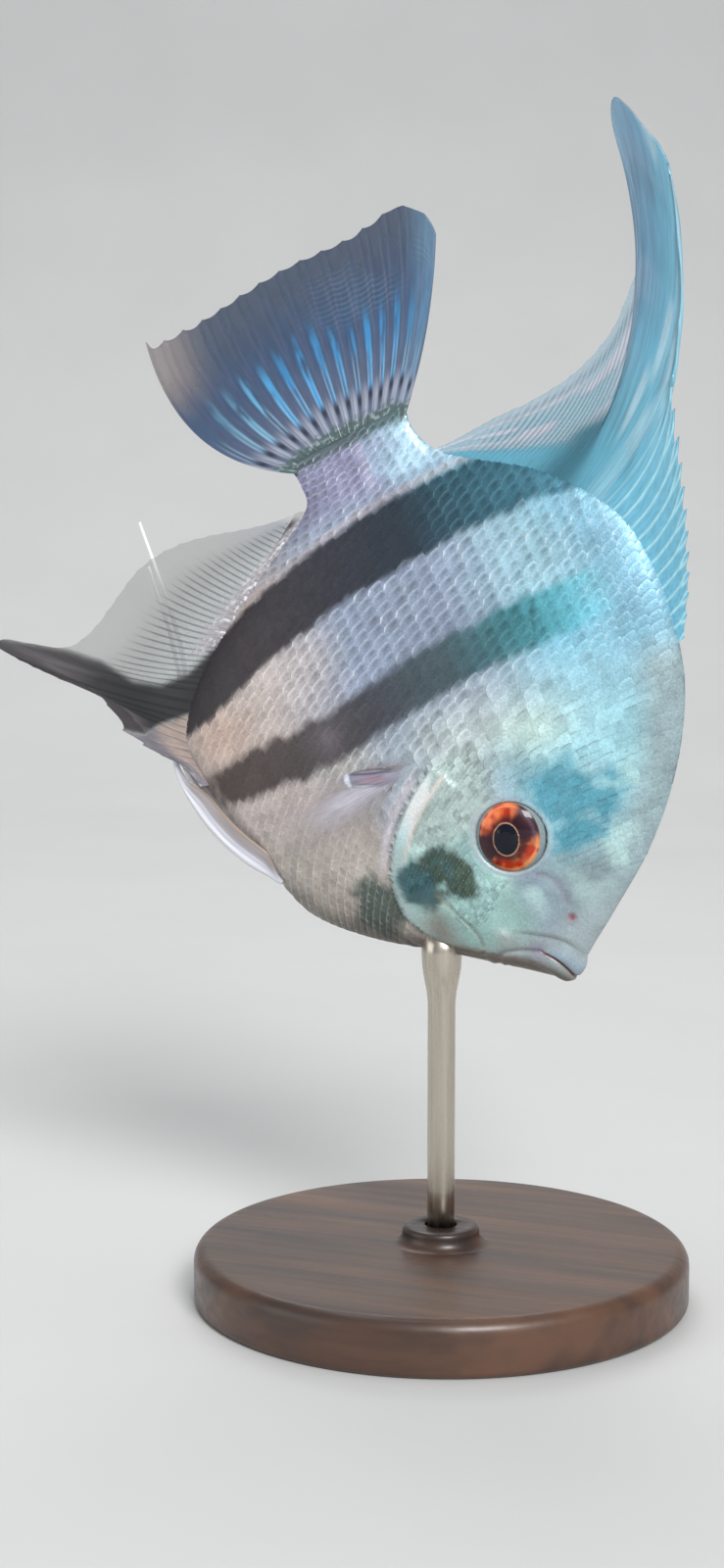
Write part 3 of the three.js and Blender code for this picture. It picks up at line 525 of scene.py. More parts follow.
def add_piece(name, points, groups, material, stands_for=(), values=None, uvs=None, flat=0):
    """A mesh object from places in the fish's or stand's frame and lists of faces. values are
    colours or numbers for each vertex, uvs a named map for each vertex, and the last flat
    faces keep their facets and meet the others in sharp edges."""
    mesh = bpy.data.meshes.new(name)
    groups = [g for g in groups if len(g)]
    corners = np.concatenate([g.ravel() for g in groups]).astype(np.int32)
    sizes = np.concatenate([np.full(len(g), g.shape[1]) for g in groups])
    mesh.vertices.add(len(points))
    mesh.vertices.foreach_set("co", points.astype(np.float32).ravel())
    mesh.loops.add(len(corners))
    mesh.loops.foreach_set("vertex_index", corners)
    mesh.polygons.add(len(sizes))
    mesh.polygons.foreach_set("loop_start", (np.cumsum(sizes) - sizes).astype(np.int32))
    smooth = np.ones(len(sizes), bool)
    smooth[len(sizes) - flat:] = False
    mesh.polygons.foreach_set("use_smooth", smooth)
    for key, value in (values or {}).items():
        if value.ndim == 2:
            rgba = np.hstack([value, np.ones((len(value), 1))]).astype(np.float32)
            layer = mesh.color_attributes.new(name=key, type="FLOAT_COLOR", domain="POINT")
            layer.data.foreach_set("color", rgba.ravel())
        else:
            layer = mesh.attributes.new(name=key, type="FLOAT", domain="POINT")
            layer.data.foreach_set("value", value.astype(np.float32))
    for key, value in (uvs or {}).items():
        mesh.uv_layers.new(name=key).data.foreach_set("uv", value[corners].astype(np.float32).ravel())
    mesh.update(calc_edges=True)
    mesh.validate()
    if flat:
        edge_of = np.empty(len(corners), np.int32)
        mesh.loops.foreach_get("edge_index", edge_of)
        sharp = np.zeros(len(mesh.edges), bool)
        sharp[edge_of[-int(sizes[-flat:].sum()):]] = True
        mesh.edges.foreach_set("use_edge_sharp", sharp)
    mesh.materials.append(material)
    made = bpy.data.objects.new(name, mesh)
    bpy.context.scene.collection.objects.link(made)
    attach(made, "root")
    if stands_for:
        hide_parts(*stands_for)
    print(name, "triangles:", int((sizes - 2).sum()))


# %% [markdown]
# ## Finish of skin and scales
# Fish silver is a layer of tiny mirrors under a clear, wet surface. A Principled shader that is
# part metal gives the mirrors and its coat the wetness. Fine noise breaks both, so the light
# sparkles from scale to scale and doesn't lie on the flank like lacquer.

# %% Materials with painted values
def new_material(name, roughness, metallic=0.0, coat=0.0, coat_roughness=0.1, specular=0.5):
    """A material whose Principled node has its constants set on its own sockets."""
    material = bpy.data.materials.new(name)
    material.use_nodes = True
    shader = material.node_tree.nodes["Principled BSDF"]
    for socket, value in (("Roughness", roughness), ("Metallic", metallic),
                          ("Coat Weight", coat), ("Coat Roughness", coat_roughness),
                          ("Specular IOR Level", specular)):
        shader.inputs[socket].default_value = value
    return material


def plug(material, socket, value):
    """A pattern led into a socket of the material's Principled node."""
    shader = material.node_tree.nodes["Principled BSDF"]
    material.node_tree.links.new(value, shader.inputs[socket])


def add_node(material, kind, links=(), **settings):
    """A node with its settings, and with sockets linked or set from the links given."""
    node = material.node_tree.nodes.new("ShaderNode" + kind)
    for key, value in settings.items():
        setattr(node, key, value)
    for socket, value in links:
        if isinstance(value, bpy.types.NodeSocket):
            material.node_tree.links.new(value, node.inputs[socket])
        else:
            node.inputs[socket].default_value = value
    return node


def noise(material, size, detail=3.0, stretch=(1, 1, 1), coordinates="Object"):
    """Noise whose grains are about size metres across, longer where stretch is small."""
    place = add_node(material, "TexCoord").outputs[coordinates]
    turned = add_node(material, "Mapping", [("Vector", place), ("Scale", stretch)]).outputs[0]
    grains = [("Vector", turned), ("Scale", 1 / size), ("Detail", detail)]
    return add_node(material, "TexNoise", grains).outputs["Fac"]


def to_range(material, value, low, high):
    """The noise's usual middle part, 0.3 to 0.7, spread from low to high."""
    return add_node(material, "MapRange", [("Value", value), ("From Min", 0.3), ("From Max", 0.7),
                                           ("To Min", low), ("To Max", high)]).outputs[0]


def painted(material, grain, low, high):
    """Base colour: the paint that each vertex keeps, lightened and darkened by a grain."""
    colour = add_node(material, "Attribute", attribute_name="Paint").outputs["Color"]
    shade = to_range(material, grain, low, high)
    mixed = add_node(material, "VectorMath", [(0, colour), (1, shade)], operation="MULTIPLY")
    plug(material, "Base Color", mixed.outputs[0])


def two_tone(material, pattern, first, second, start=0.0, end=1.0):
    """Base colour: the first paint up to the pattern's start and the second from its end on."""
    node = add_node(material, "ValToRGB", [("Fac", pattern)])
    for tone, paint_there, place in zip(node.color_ramp.elements, (first, second), (start, end)):
        tone.position = place
        tone.color = (*paint_there, 1)
    plug(material, "Base Color", node.outputs[0])


def bumped(material, height, depth):
    """Fine relief from a height pattern, depth metres high."""
    bump = add_node(material, "Bump", [("Height", height), ("Distance", depth), ("Strength", 1.0)])
    plug(material, "Normal", bump.outputs[0])


def fish_silver(name, grain_size, contrast, patch_size, depth, **finish):
    """A fine grain that shades and roughens the silver, and wider patches of duller shine."""
    material = new_material(name, 0.4, **finish)
    grain = noise(material, grain_size)
    painted(material, grain, 1 - contrast, 1 + contrast)
    plug(material, "Roughness", to_range(material, noise(material, patch_size), 0.34, 0.5))
    bumped(material, grain, depth)
    return material


silver_skin = fish_silver("silver_skin", 0.00025, 0.12, 0.0009, 0.00003,
                          metallic=0.2, coat=0.25, coat_roughness=0.22, specular=0.4)
silver_scale = fish_silver("silver_scale", 0.00022, 0.16, 0.0007, 0.00002,
                           metallic=0.3, coat=0.08, coat_roughness=0.25, specular=0.35)

# %% [markdown]
# ## One skin from lip to tail stalk
# The solids part the body into head, jaw, trunk, stalk and gill covers. On the animal these are
# under one skin, so one closed net of rings replaces them. The rings stand close together on
# the head, where the folds are, and their points crowd at the height of the eye.

# %% The skin
RINGS, ROUND = 384, 248


def crowded(count, places, crowding):
    """Places from first to last, with gaps in inverse measure to the crowding at each."""
    fine = np.linspace(places[0], places[-1], 4000)
    total = np.concatenate([[0], np.cumsum(np.interp(fine[1:], places, crowding))])
    return np.interp(np.linspace(0, total[-1], count), total, fine)


stations = crowded(RINGS, [SNOUT_END, 0.6, 5, 11, 12, 20, 21, 27, 32, STALK_END],
                   [30, 22, 10, 8, 10, 10, 7, 6, 3.2, 3])
heights = crowded(ROUND // 2 + 1, [-1, -0.45, 0, 0.3, 0.6, 1], [1, 1.4, 2.4, 2.4, 1, 1])
ring_height = np.concatenate([heights[:-1], heights[:0:-1]])
ring_side = np.repeat([1.0, -1.0], ROUND // 2)
low, high = table(BELLY, stations)[:, None], table(BACK, stations)[:, None]
form = np.stack(np.broadcast_arrays(
    stations[:, None], (low + high) / 2 + ring_height * (high - low) / 2,
    ring_side * share_of_width(ring_height) * table(HALF_WIDTH, stations)[:, None]), -1)
square = np.cross(np.gradient(form, axis=0), np.roll(form, -1, 1) - np.roll(form, 1, 1))
square /= np.linalg.norm(square, axis=-1, keepdims=True) + 1e-12
square *= np.sign((square[..., 2] * ring_side).sum())
lifted = form + square * (relief(form[..., 0], form[..., 1]) - COAT_DEPTH)[..., None]
points = np.vstack([lifted.reshape(-1, 3), lifted[0].mean(0), lifted[-1].mean(0)])
add_piece("skin", to_stand(points), closed_rings(points, RINGS, ROUND), silver_skin,
          ["head", "lower_jaw", "trunk", "tail_stalk", "gill_cover_right", "gill_cover_left"],
          {"Paint": paint(points[:, 0], points[:, 1])})

# %% [markdown]
# ## Scales
# The scales lie in rows like roof tiles, each sunk in the skin at its front edge and free at
# its rounded rear one. They are smaller on the head and the tail stalk. A particle system
# could scatter them, but real scales stand in strict order, so they are set out on a net whose
# mesh size changes along the body. Each is a thin closed plate that takes the skin's curve.

# %% Where scales grow
SCALE_WIDE, SCALE_STEP = 1.84, 1.065
MIDDLE_ROW = [[4, 1.4], [20, 0.8], [30, 0.2], [40, -0.7], [50, -1.3], [63, -1]]
SIZE_ALONG = [[0, 0.5], [8, 0.55], [14, 0.66], [18, 0.76], [22, 0.86], [27, 0.94], [34, 1], [50, 1],
              [56, 0.85], [60, 0.7], [63, 0.62]]
ROW_CROWDING, ROW_SHIFT = 0.0067, 0.125
PECTORAL_ROOT = (26.9, -7.6)


def scaled_share(x, y):
    """1 where scales grow and 0 on the bare lips, snout, eye ring, gill edge and fin roots."""
    inward, fade = gill_place(x, y)[:2]
    bare = fade * ramp(-0.3, -0.05, inward) * ramp(2.1, 1.9, inward)
    bare = np.maximum(bare, (inward > -0.1) * ramp(16, 14, x) * ramp(-8, -9.5, y))
    snout = ramp(7.5, 10, x) * ramp(11, 14, x + 4 * ramp(-4, 3, np.abs(y - 1) - 6))
    return ((1 - bare) * snout * ramp(4.6, 5, away(x, y, EYE_AT))
            * ramp(0.6, 1.6, distance(SNOUT_GROOVE, x, y)[0]) * ramp(1.2, 1.9, away(x, y, PECTORAL_ROOT)))


def on_cheek(x, y):
    """True on the cheek and the gill cover, where the scales are half as large."""
    return (x < 26) & (y < 3.4 - 0.2 * (x - 14)) & (gill_place(x, y)[0] > -0.1)


def stand_up(x, y):
    """How clearly the scales stand out, 0 to 1: well on the flank, nape and stalk, less on the
    cheek, the forehead and the belly, and least on the black parts of the bars."""
    rear, middle = bars(x, y)
    trunk, upper_cheek = ramp(20, 26, x), ramp(-9, -4, y)
    head = trunk + (1 - trunk) * most(ramp(2, 4, y), ramp(-14, -17, y)) * ramp(11, 15, x)
    head = 0.25 + 0.2 * upper_cheek + (0.75 - 0.2 * upper_cheek) * head
    brow = 0.65 * ramp(48, 36, x) * ramp(8, 3, table(BACK, x) - y)
    shoulder = 0.5 * ramp(36, 28, x) * ramp(0, 5, y)
    breast = 0.65 + 0.35 * ramp(-25, -14, y) + 0.3 * ramp(28, 23, x) * ramp(-14, -18, y)
    black = most(0.85 * rear, 0.6 * middle) * ramp(8, 2, y)
    return head * (1 - brow) * (1 - shoulder) * breast * (1 - black)


def scale_roots(finer, wanted):
    """The net of scales. Rows run along the body and close up toward the belly and the back.
    Each row starts an eighth of a step ahead of the one below it, except near the back."""
    fine = np.linspace(4, 62.2, 3000)
    size = finer * table(SIZE_ALONG, fine)
    column = np.concatenate([[0], np.cumsum(np.diff(fine) / (SCALE_STEP * size[1:]))])
    reach = int(27 / finer)
    row = np.arange(-reach, reach)
    shift = -ROW_SHIFT * np.minimum(row, 4 / finer)
    x = np.interp(np.arange(int(column[-1]))[:, None] + shift % 1, column, fine)
    size = finer * table(SIZE_ALONG, x)
    crowd = 1 - ROW_CROWDING * finer * np.abs(row)
    y = table(MIDDLE_ROW, x) + SCALE_WIDE * row * crowd * size
    before, after = x - 0.5, x + 0.5
    slope = table(MIDDLE_ROW, after) - table(MIDDLE_ROW, before)
    slope += SCALE_WIDE * row * crowd * finer * (table(SIZE_ALONG, after) - table(SIZE_ALONG, before))
    on_body = (y > table(BELLY, x) - 0.2) & (y < table(BACK, x) + 0.2)
    keep = on_body & (scaled_share(x, y) > 0.3) & wanted(x, y)
    wide = size * (2 * crowd - 1)
    return x[keep], y[keep], size[keep], wide[keep], np.arctan(slope[keep])


# %% [markdown]
# ### One scale
# A plate is a small net over two shares, one across it and one along it from its sunk root to
# its free edge. One more place, under its middle, closes it from below.

# %% One scale's plate
across, along = np.meshgrid([-1, -0.8, -0.45, 0, 0.45, 0.8, 1], [0, 0.22, 0.6, 0.77, 0.9, 1], indexing="ij")
plate_x = SCALE_STEP * (-1.15 + along * (1.74 + 0.22 * across - 0.1 * across**4))
plate_y = SCALE_WIDE * across * (0.6 - 0.17 * ramp(0.6, 1.04, along) - 0.1 * (along < 0.1))
rounded_off = 0.035 * (along > 0.95) + 0.015 * (np.abs(across) > 0.95)
plate_lift = -0.06 + 0.1 * along - 0.02 * across * along - rounded_off
rows, columns = along.shape
number = np.arange(rows * columns).reshape(rows, columns)
rim = np.concatenate([number[:, 0], number[-1, 1:], number[-2::-1, -1], number[0, -2:0:-1]])
plate_top = grid_faces(rows, columns)
plate_under = np.stack([np.full(len(rim), number.size), rim, np.roll(rim, -1)], -1)
PLATE_SIZE = number.size + 1
far_along, far_across = (np.append(v.ravel(), 0.0)[:, None] for v in (along, across))
# Where on each plate lie the pale edge with its painted highlight, the painted shadow line, the painted
# glint ticks and the painted shade of the hollow.
free_edge, edge_shadow_at = ramp(0.85, 0.98, far_along), ramp(0.84, 1, far_along)
tick_at = ramp(-0.7, -0.95, far_across) * ramp(0.55, 0.8, far_along)
hollow_at = ramp(1, 0.2, oval(far_along - 0.1 * far_across, far_across, 0.7, 0.35, 0.22, 0.8))
# How deep a root and the place under the middle are sunk, and how high the plate lies, mm.
ROOT_SUNK, UNDER_SUNK, ABOVE_SKIN = 0.17, 0.07, 0.05
# How far places, widths and slopes stray at random, and where a corner reads its paint.
STRAY, STRAY_WIDTH, STRAY_SLOPE, READ_AT = 0.022, 0.02, 0.012, 0.85


# %% Paint and places of all plates of a region
def plate_paint(x, y, px, py, size, share, clear, glitter, nape, rng):
    """The skin's paint, read mostly at each corner and partly at the root. Each plate has a tone of
    its own, painted shade in its hollow, a painted shadow line along its edge on the nape, and a
    pale edge with a painted glint on it. The pale edge is partly the scale's own margin and partly
    a painted highlight."""
    colour = paint(x + READ_AT * (px - x), y + READ_AT * (py - y))
    dark, low, n = most(*bars(x, y)), ramp(-12, -19, y), len(x)
    strength = rng.uniform(0.3, 0.95, n) * clear * (1 - 0.9 * dark * ramp(9, 1, y))
    uneven = 0.05 + 0.02 * clear + 0.09 * glitter + 0.09 * ramp(0.55, 0.42, size)
    tone = 1 + 0.1 * clear + np.clip(rng.normal(0, 1, n), -1.6, 1.6) * uneven
    # Painted shade in the hollow of each plate's exposed field, less on the belly and weaker at random on
    # the nape.
    hollow = rng.uniform(0.3, 0.5, n) * (0.4 + 0.6 * ramp(0.42, 0.6, size)) * (1 - 0.45 * low) * clear
    hollow = hollow * (1 - 0.25 * ramp(34, 30, x)) * (1 - nape * rng.uniform(0, 0.8, n)) * hollow_at
    # A painted shadow line along each plate's free edge on the nape.
    edge_shadow = edge_shadow_at * nape * rng.uniform(0, 0.6, n) * share * ramp(2, 6, table(BACK, x) - y)
    colour = colour * (tone * (1 - hollow) * (1 - edge_shadow))[..., None]
    # The pale edge: partly the scale's own pale margin and partly a painted highlight, teal on the dark
    # bars.
    pale = lay(colour * 1.35 + 0.05, rgb(206, 216, 226), (1 - dark) * (0.5 - 0.2 * low))
    pale = lay(pale, rgb(92, 152, 162), 0.7 * dark * ramp(0, 6, y))
    shine = np.maximum(free_edge * (0.65 - 0.3 * nape + 0.3 * low), tick_at * (0.95 - 0.5 * nape))
    # Painted glints: white ticks near the rear corners, and along the free edge where the flank glitters.
    glint = (rng.uniform(0, 1, n) < 0.4 + 0.3 * glitter) * (1 - dark) * (1 - 0.6 * nape) * (1 - 0.4 * low)
    glint = glint * strength * np.maximum(0.95 * tick_at, 0.35 * glitter * free_edge)
    return np.clip(coats(colour, (pale, shine * strength), (rgb(252, 254, 254), glint)), 0.002, 1)


def bake_places(x, y, side):
    """Each plate's own small patch of the map, at its root's place in its flank's half."""
    t = (y - table(BELLY, x)) / (table(BACK, x) - table(BELLY, x))
    root = np.stack([0.02 + 0.96 * x / 63, 0.25 + side * (0.01 + 0.46 * t) / 2 + 0.25 * (side > 0)], -1)
    small = np.stack([np.append(plate_x.ravel(), 0), np.append(plate_y.ravel(), 0)], -1) * 0.0014
    return (root[:, None] + small[None]).reshape(-1, 2)


def scales(name, x, y, size, wide, turn, side, rng):
    """All plates of a region: each turned to its row, tilted a little, and laid on the skin."""
    n = len(x)
    share = ramp(0.3, 0.9, scaled_share(x, y))
    clear = stand_up(x, y) * share
    glitter, nape = spot(x, y, *GLITTER), ramp(32, 24, x) * ramp(0, 5, y)
    uneven = 1 + 3 * np.maximum(glitter, nape)
    x, y = (v + rng.normal(0, STRAY, n) * uneven * size for v in (x, y))
    wide = wide * (1 + rng.normal(0, STRAY_WIDTH, n) * uneven)
    tilt = rng.normal(0, STRAY_SLOPE, (2, n)) * (clear + 3 * glitter + nape)
    a, b = size * plate_x.ravel()[:, None], wide * plate_y.ravel()[:, None]
    up = plate_lift.ravel()[:, None] * (0.12 + 0.88 * clear) * size**0.5 + a * tilt[0] + b * tilt[1]
    up = np.where(along.ravel()[:, None] < 0.1, -ROOT_SUNK, up - 0.04 * (1 - share))
    a, b, up = (np.vstack([v, v.mean(0)]) for v in (a, b, up))
    up[-1] -= UNDER_SUNK
    px = x + a * np.cos(turn) - b * np.sin(turn)
    py = y + a * np.sin(turn) + b * np.cos(turn)
    points = on_skin(px, py, side, up + ABOVE_SKIN).transpose(1, 0, 2).reshape(-1, 3)
    colour = plate_paint(x, y, px, py, size, share, clear, glitter, nape, rng)
    first = np.arange(n)[:, None, None] * PLATE_SIZE
    tops, unders = (first + plate_top).reshape(-1, 4), (first + plate_under).reshape(-1, 3)
    faces = [tops[:, ::-1], unders] if side > 0 else [tops, unders[:, ::-1]]
    add_piece(name, to_stand(points), faces, silver_scale,
              values={"Paint": colour.transpose(1, 0, 2).reshape(-1, 3)},
              uvs={"OFBake": bake_places(x, y, side)}, flat=len(unders))


# %% All scales of both flanks
rng = np.random.default_rng(11)
body, cheek = scale_roots(1, lambda x, y: ~on_cheek(x, y)), scale_roots(0.5, on_cheek)
print("scales on each flank:", len(body[0]), "and on each cheek:", len(cheek[0]))
for flank_name, side in SIDES:
    scales("scales_cheek_" + flank_name, *cheek, side, rng)
    for region, start, end in (("nape", 0, 27), ("front", 27, 40), ("rear", 40, 64)):
        keep = (body[0] >= start) & (body[0] < end)
        scales(f"scales_{region}_{flank_name}", *(v[keep] for v in body), side, rng)

# %% [markdown]
# ## Eyes
# A fish's eye has no lids: a flat, wide ball with a dark lens that shows through the pupil, a
# coloured iris round it and a clear cornea over both. The ball is worked out as a squashed
# sphere whose axis stands square to the cheek. Its iris is painted by angle and distance
# from the axis, and a glossy coat stands for the cornea.

# %% Eyes
EYE_RADIUS, EYE_BULGE, EYE_SINK, LENS_RISE = 3.9, 1.9, 0.88, 0.1
# Iris and pupil: their middles, level and upright from the axis, and their half sizes.
IRIS, PUPIL = (-0.1, 0, 3.22, 3.65), (-0.3, -0.02, 1.32, 1.68)


def eye_paint(level, upright):
    """The eye's paints by the place on its face, mm to the tail-and-back side of its axis
    and mm up from it when the fish hangs nose down."""
    q, angle = oval(level, upright, *IRIS), np.arctan2(upright, level - IRIS[0])
    streaks = cloud(angle * 3, q * 3, 0.6, 21)
    gold = ramp(1.0, 0.4, np.abs(angle + 0.75))
    upper, lower = (np.abs((angle - middle + np.pi) % (2 * np.pi) - np.pi) for middle in (0.68, 3.55))
    dark = most(ramp(1.05, 0.35, upper + 0.15 * streaks), ramp(0.95, 0.3, lower + 0.15 * streaks))
    return coats(
        rgb(178, 52, 24), (rgb(224, 118, 66), ramp(-0.4, 0.8, streaks + 2 * (q - 0.75))),
        (rgb(196, 146, 84), 0.85 * gold * ramp(-0.5, 0.4, streaks)),
        (lay(rgb(34, 20, 34), rgb(92, 84, 104), 0.5 * bell(q, 0.86, 0.06) * (level > 0)),
         np.clip(dark * (1.1 + 0.2 * streaks), 0, 0.96)),
        (rgb(34, 16, 26), 0.85 * ramp(0.78, 0.55, q)),
        (rgb(240, 150, 110), 0.6 * bell(q, 0.93, 0.035) * (1 - dark)),
        (rgb(128, 142, 146), ramp(0.985, 1.03, q)),
        (rgb(30, 32, 40), ramp(1.14, 1.2, q)))


def eye(name, node, side):
    """A squashed sphere: its radius by the sine and its bulge by the cosine of the angle
    from the axis, set on the cheek's square direction."""
    steps = np.concatenate([np.linspace(0.012, 0.5, 66), np.linspace(0.52, 0.99, 14)]) * np.pi
    q, around = np.meshgrid(steps, np.arange(128) * 2 * np.pi / 128, indexing="ij")
    axis = np.array([*lean(*EYE_AT, 1.5), 1])
    axis = axis / np.linalg.norm(axis)
    one = np.cross([0, 1, 0], axis)
    one /= np.linalg.norm(one)
    two = np.cross(axis, one)
    middle = np.append(EYE_AT, flank(*EYE_AT)) - axis * EYE_SINK
    pu, pv = (np.sin(q) * EYE_RADIUS * v for v in (np.cos(around), np.sin(around)))
    upright = pu * np.sin(NOSE_DOWN) + pv * np.cos(NOSE_DOWN)
    level = pv * np.sin(NOSE_DOWN) - pu * np.cos(NOSE_DOWN)
    pupil = oval(level, upright, *PUPIL)
    bulge = np.cos(q) * EYE_BULGE + LENS_RISE * ramp(1.0, 0.5, pupil) * (q < 1.5)
    points = middle + pu[..., None] * one + pv[..., None] * two + bulge[..., None] * axis
    colour = coats(
        eye_paint(level, upright), (rgb(226, 182, 150), 0.8 * bell(pupil, 1.045, 0.028)),
        (rgb(8, 10, 26), ramp(1.02, 0.98, pupil)), (rgb(40, 44, 56), ramp(1.55, 1.7, q)))
    poles = np.stack([middle + axis * (EYE_BULGE + LENS_RISE), middle - axis * EYE_BULGE])
    points = np.vstack([points.reshape(-1, 3), poles]) * [1, 1, side]
    colour = np.vstack([colour.reshape(-1, 3), rgb(10, 12, 26), rgb(40, 44, 56)])
    add_piece(name, to_stand(points), closed_rings(points, *q.shape), wet_eye, [node],
              {"Paint": colour})


wet_eye = new_material("wet_eye", 0.3, coat=0.45, coat_roughness=0.03, specular=0.1)
painted(wet_eye, noise(wet_eye, 0.00012), 0.8, 1.2)
for flank_name, side in SIDES:
    eye("eyeball_" + flank_name, "eye_" + flank_name, side)

# %% [markdown]
# ## Fins
# A fin is a clear web between bony rays. The rays fan out from the root, split toward the edge,
# and stand up as ridges on both faces. Each fin is a net over two shares, the first from its
# front ray to its rear one and the second from root to edge, with a ridge wherever a ray runs.
# The web's clearness is kept for each vertex, because pigment makes some of it solid.

# %% Material of the fins
fin_web = new_material("fin_web", 0.38, coat=0.25, coat_roughness=0.2)
painted(fin_web, noise(fin_web, 0.006, stretch=(1, 0.05, 1), coordinates="UV"), 0.86, 1.14)
plug(fin_web, "Alpha", add_node(fin_web, "Attribute", attribute_name="Body").outputs["Fac"])
bumped(fin_web, noise(fin_web, 0.0003), 0.000008)


# %% A web with rays
def slab(middle, half):
    """Two sheets, each half the thickness from a middle sheet along its square direction,
    and a rim that joins their edges."""
    square = np.cross(np.gradient(middle, axis=0), np.gradient(middle, axis=1))
    square /= np.linalg.norm(square, axis=-1, keepdims=True) + 1e-12
    points = np.vstack([(middle + square * half[..., None]).reshape(-1, 3),
                        (middle - square * half[..., None]).reshape(-1, 3)])
    rows, columns = half.shape
    n = np.arange(rows * columns).reshape(rows, columns)
    front, back = grid_faces(rows, columns), grid_faces(rows, columns)[:, ::-1] + n.size
    rim = np.concatenate([n[:-1, 0], n[-1, :-1], n[:0:-1, -1], n[0, :0:-1]])
    after = np.roll(rim, -1)
    faces = np.vstack([front, back, np.stack([after, rim, rim + n.size, after + n.size], -1)])
    return points, outward(points, faces)


def left_of(line, x, y, soft):
    """1 on the left of a line of the side view and 0 on its right, with a soft change."""
    far, side = distance(np.asarray(line, float), x, y)[::2]
    return ramp(-soft, soft, side * far)


def off_ray(number):
    """How far a place is from the nearest ray, 0 to a half, where number counts the rays."""
    return np.abs((number + 0.5) % 1 - 0.5)


def ray_ridges(number, f, branch):
    """How near a place is to a ray, 0 to 1. Past the branching point each ray is two that
    part toward the edge."""
    return bell(off_ray(number), 0.2 * ramp(branch, 0.95, f), 0.085)


def web_half(ridge, s, f):
    """Half a middle fin's thickness: the web, its rays, which flatten outward, and its root."""
    return 0.11 + 0.12 * ridge * (1 - 0.6 * f) + 0.2 * ramp(0.25, 0, f) * ramp(1, 0.8, s)


def add_fin(name, middle, half, colour, body, stands_for, number, f):
    """The web as a closed slab, with its paint, its solidity and a map that follows the rays."""
    points, faces = slab(middle, half)
    both = lambda v: np.concatenate([v.reshape((-1,) + v.shape[2:])] * 2)
    uv = np.stack([both(number) / 40, both(f)], -1)
    kept = {"Paint": both(np.clip(colour, 0.002, 1)), "Body": both(np.clip(body, 0, 1))}
    add_piece(name, to_stand(points), [faces], fin_web, stands_for, kept, {"Rays": uv})


def root_on(outline, start, end, sunk):
    """A fin's root: nine places on the body's outline, sunk into the body."""
    x = np.linspace(start, end, 9)
    return np.stack([x, table(outline, x) + sunk], -1)


def ragged(i):
    """A repeatable number from -1 to 1 for each ray."""
    return 2 * ((np.sin(i * 25.9796 + 4.1) * 43758.5453) % 1) - 1


def middle_fin(fin, columns, rows):
    """The sheet of a fin of the middle plane. Each ray is the straight line from its place on
    the root to its place on the edge, arched to the front as a parabola and swayed sideways.
    The web between two rays is notched back at the edge, as the sine of the way across.
    Behind the spines one more ray runs between two, so they are counted twice as fast."""
    rays = fin["rays"]
    across = np.linspace(0, 1, (rays - 1) * columns + 1)
    s, f = np.meshgrid(across, np.linspace(0, 1, rows), indexing="ij")
    start = line_through(fin["root"], np.clip(table(fin["meet"], across), 0, 1))[:, None]
    end = line_through(fin["edge"], np.clip(table(fin["spread"], across), 0, 1))[:, None]
    number = s * (rays - 1)
    between = np.sin(np.pi * (number % 1)) ** 0.8
    notch = table(fin["tooth"], s) * between * (1 + 0.3 * ragged(np.floor(number) + 0.5))
    reach = (f * (1 - notch) * fin["trim"])[..., None]
    chord = end - start
    arch = np.stack([-chord[..., 1], chord[..., 0]], -1) * table(fin["bow"], s)[..., None]
    flat = start + chord * reach + arch * 4 * reach * (1 - reach)
    middle = np.concatenate([flat, fin["sway"](s, reach[..., 0])[..., None]], -1)
    return middle, s, f, number + np.maximum(number - fin["spines"], 0)


# %% [markdown]
# ### Dorsal fin
# Its front spines are stiff and close together, sea green and nearly solid, with a saw-toothed
# edge. They lead into a long streamer, and behind it the soft part is clear, with hair-fine
# dark rays. Small scales run up its base, which shows as a darker, solid band.

# %% Dorsal fin
DORSAL = dict(
    rays=34, spines=14, root=root_on(BACK, 27.6, 56.6, -1.1), trim=0.993,
    edge=[[28, 24.6], [32.4, 27.2], [38, 29.7], [46.7, 32.5], [52, 34], [57.3, 37], [62.7, 39.5],
          [67.5, 41], [71.4, 42.1], [74.1, 42.4], [77.2, 41.6], [80.2, 40.7], [81.4, 40], [80.2, 39.1],
          [77.2, 38.4], [73.6, 38.4], [70.5, 38], [66.7, 37], [62.4, 33.2], [59.6, 29.8], [57.7, 25],
          [57.1, 20], [57.2, 15], [57, 10.5], [57, 8]],
    spread=[[0, 0], [0.33, 0.249], [0.42, 0.433], [0.5, 0.547], [0.58, 0.686], [0.8, 0.852], [1, 1]],
    meet=[[0, 0], [0.33, 0.42], [0.42, 0.5], [0.5, 0.55], [0.58, 0.6], [0.8, 0.8], [1, 1]],
    bow=[[0, 0.02], [0.33, 0.1], [0.42, 0.135], [0.5, 0.125], [0.58, 0.105], [0.75, 0.07], [1, 0.02]],
    tooth=[[0, 0.1], [0.3, 0.14], [0.4, 0.02], [0.6, 0.01], [1, 0.02]],
    sway=lambda s, f: 0.9 * f * f * np.sin(3 + 5 * s) - 0.4 * f * np.sin(9 * s))

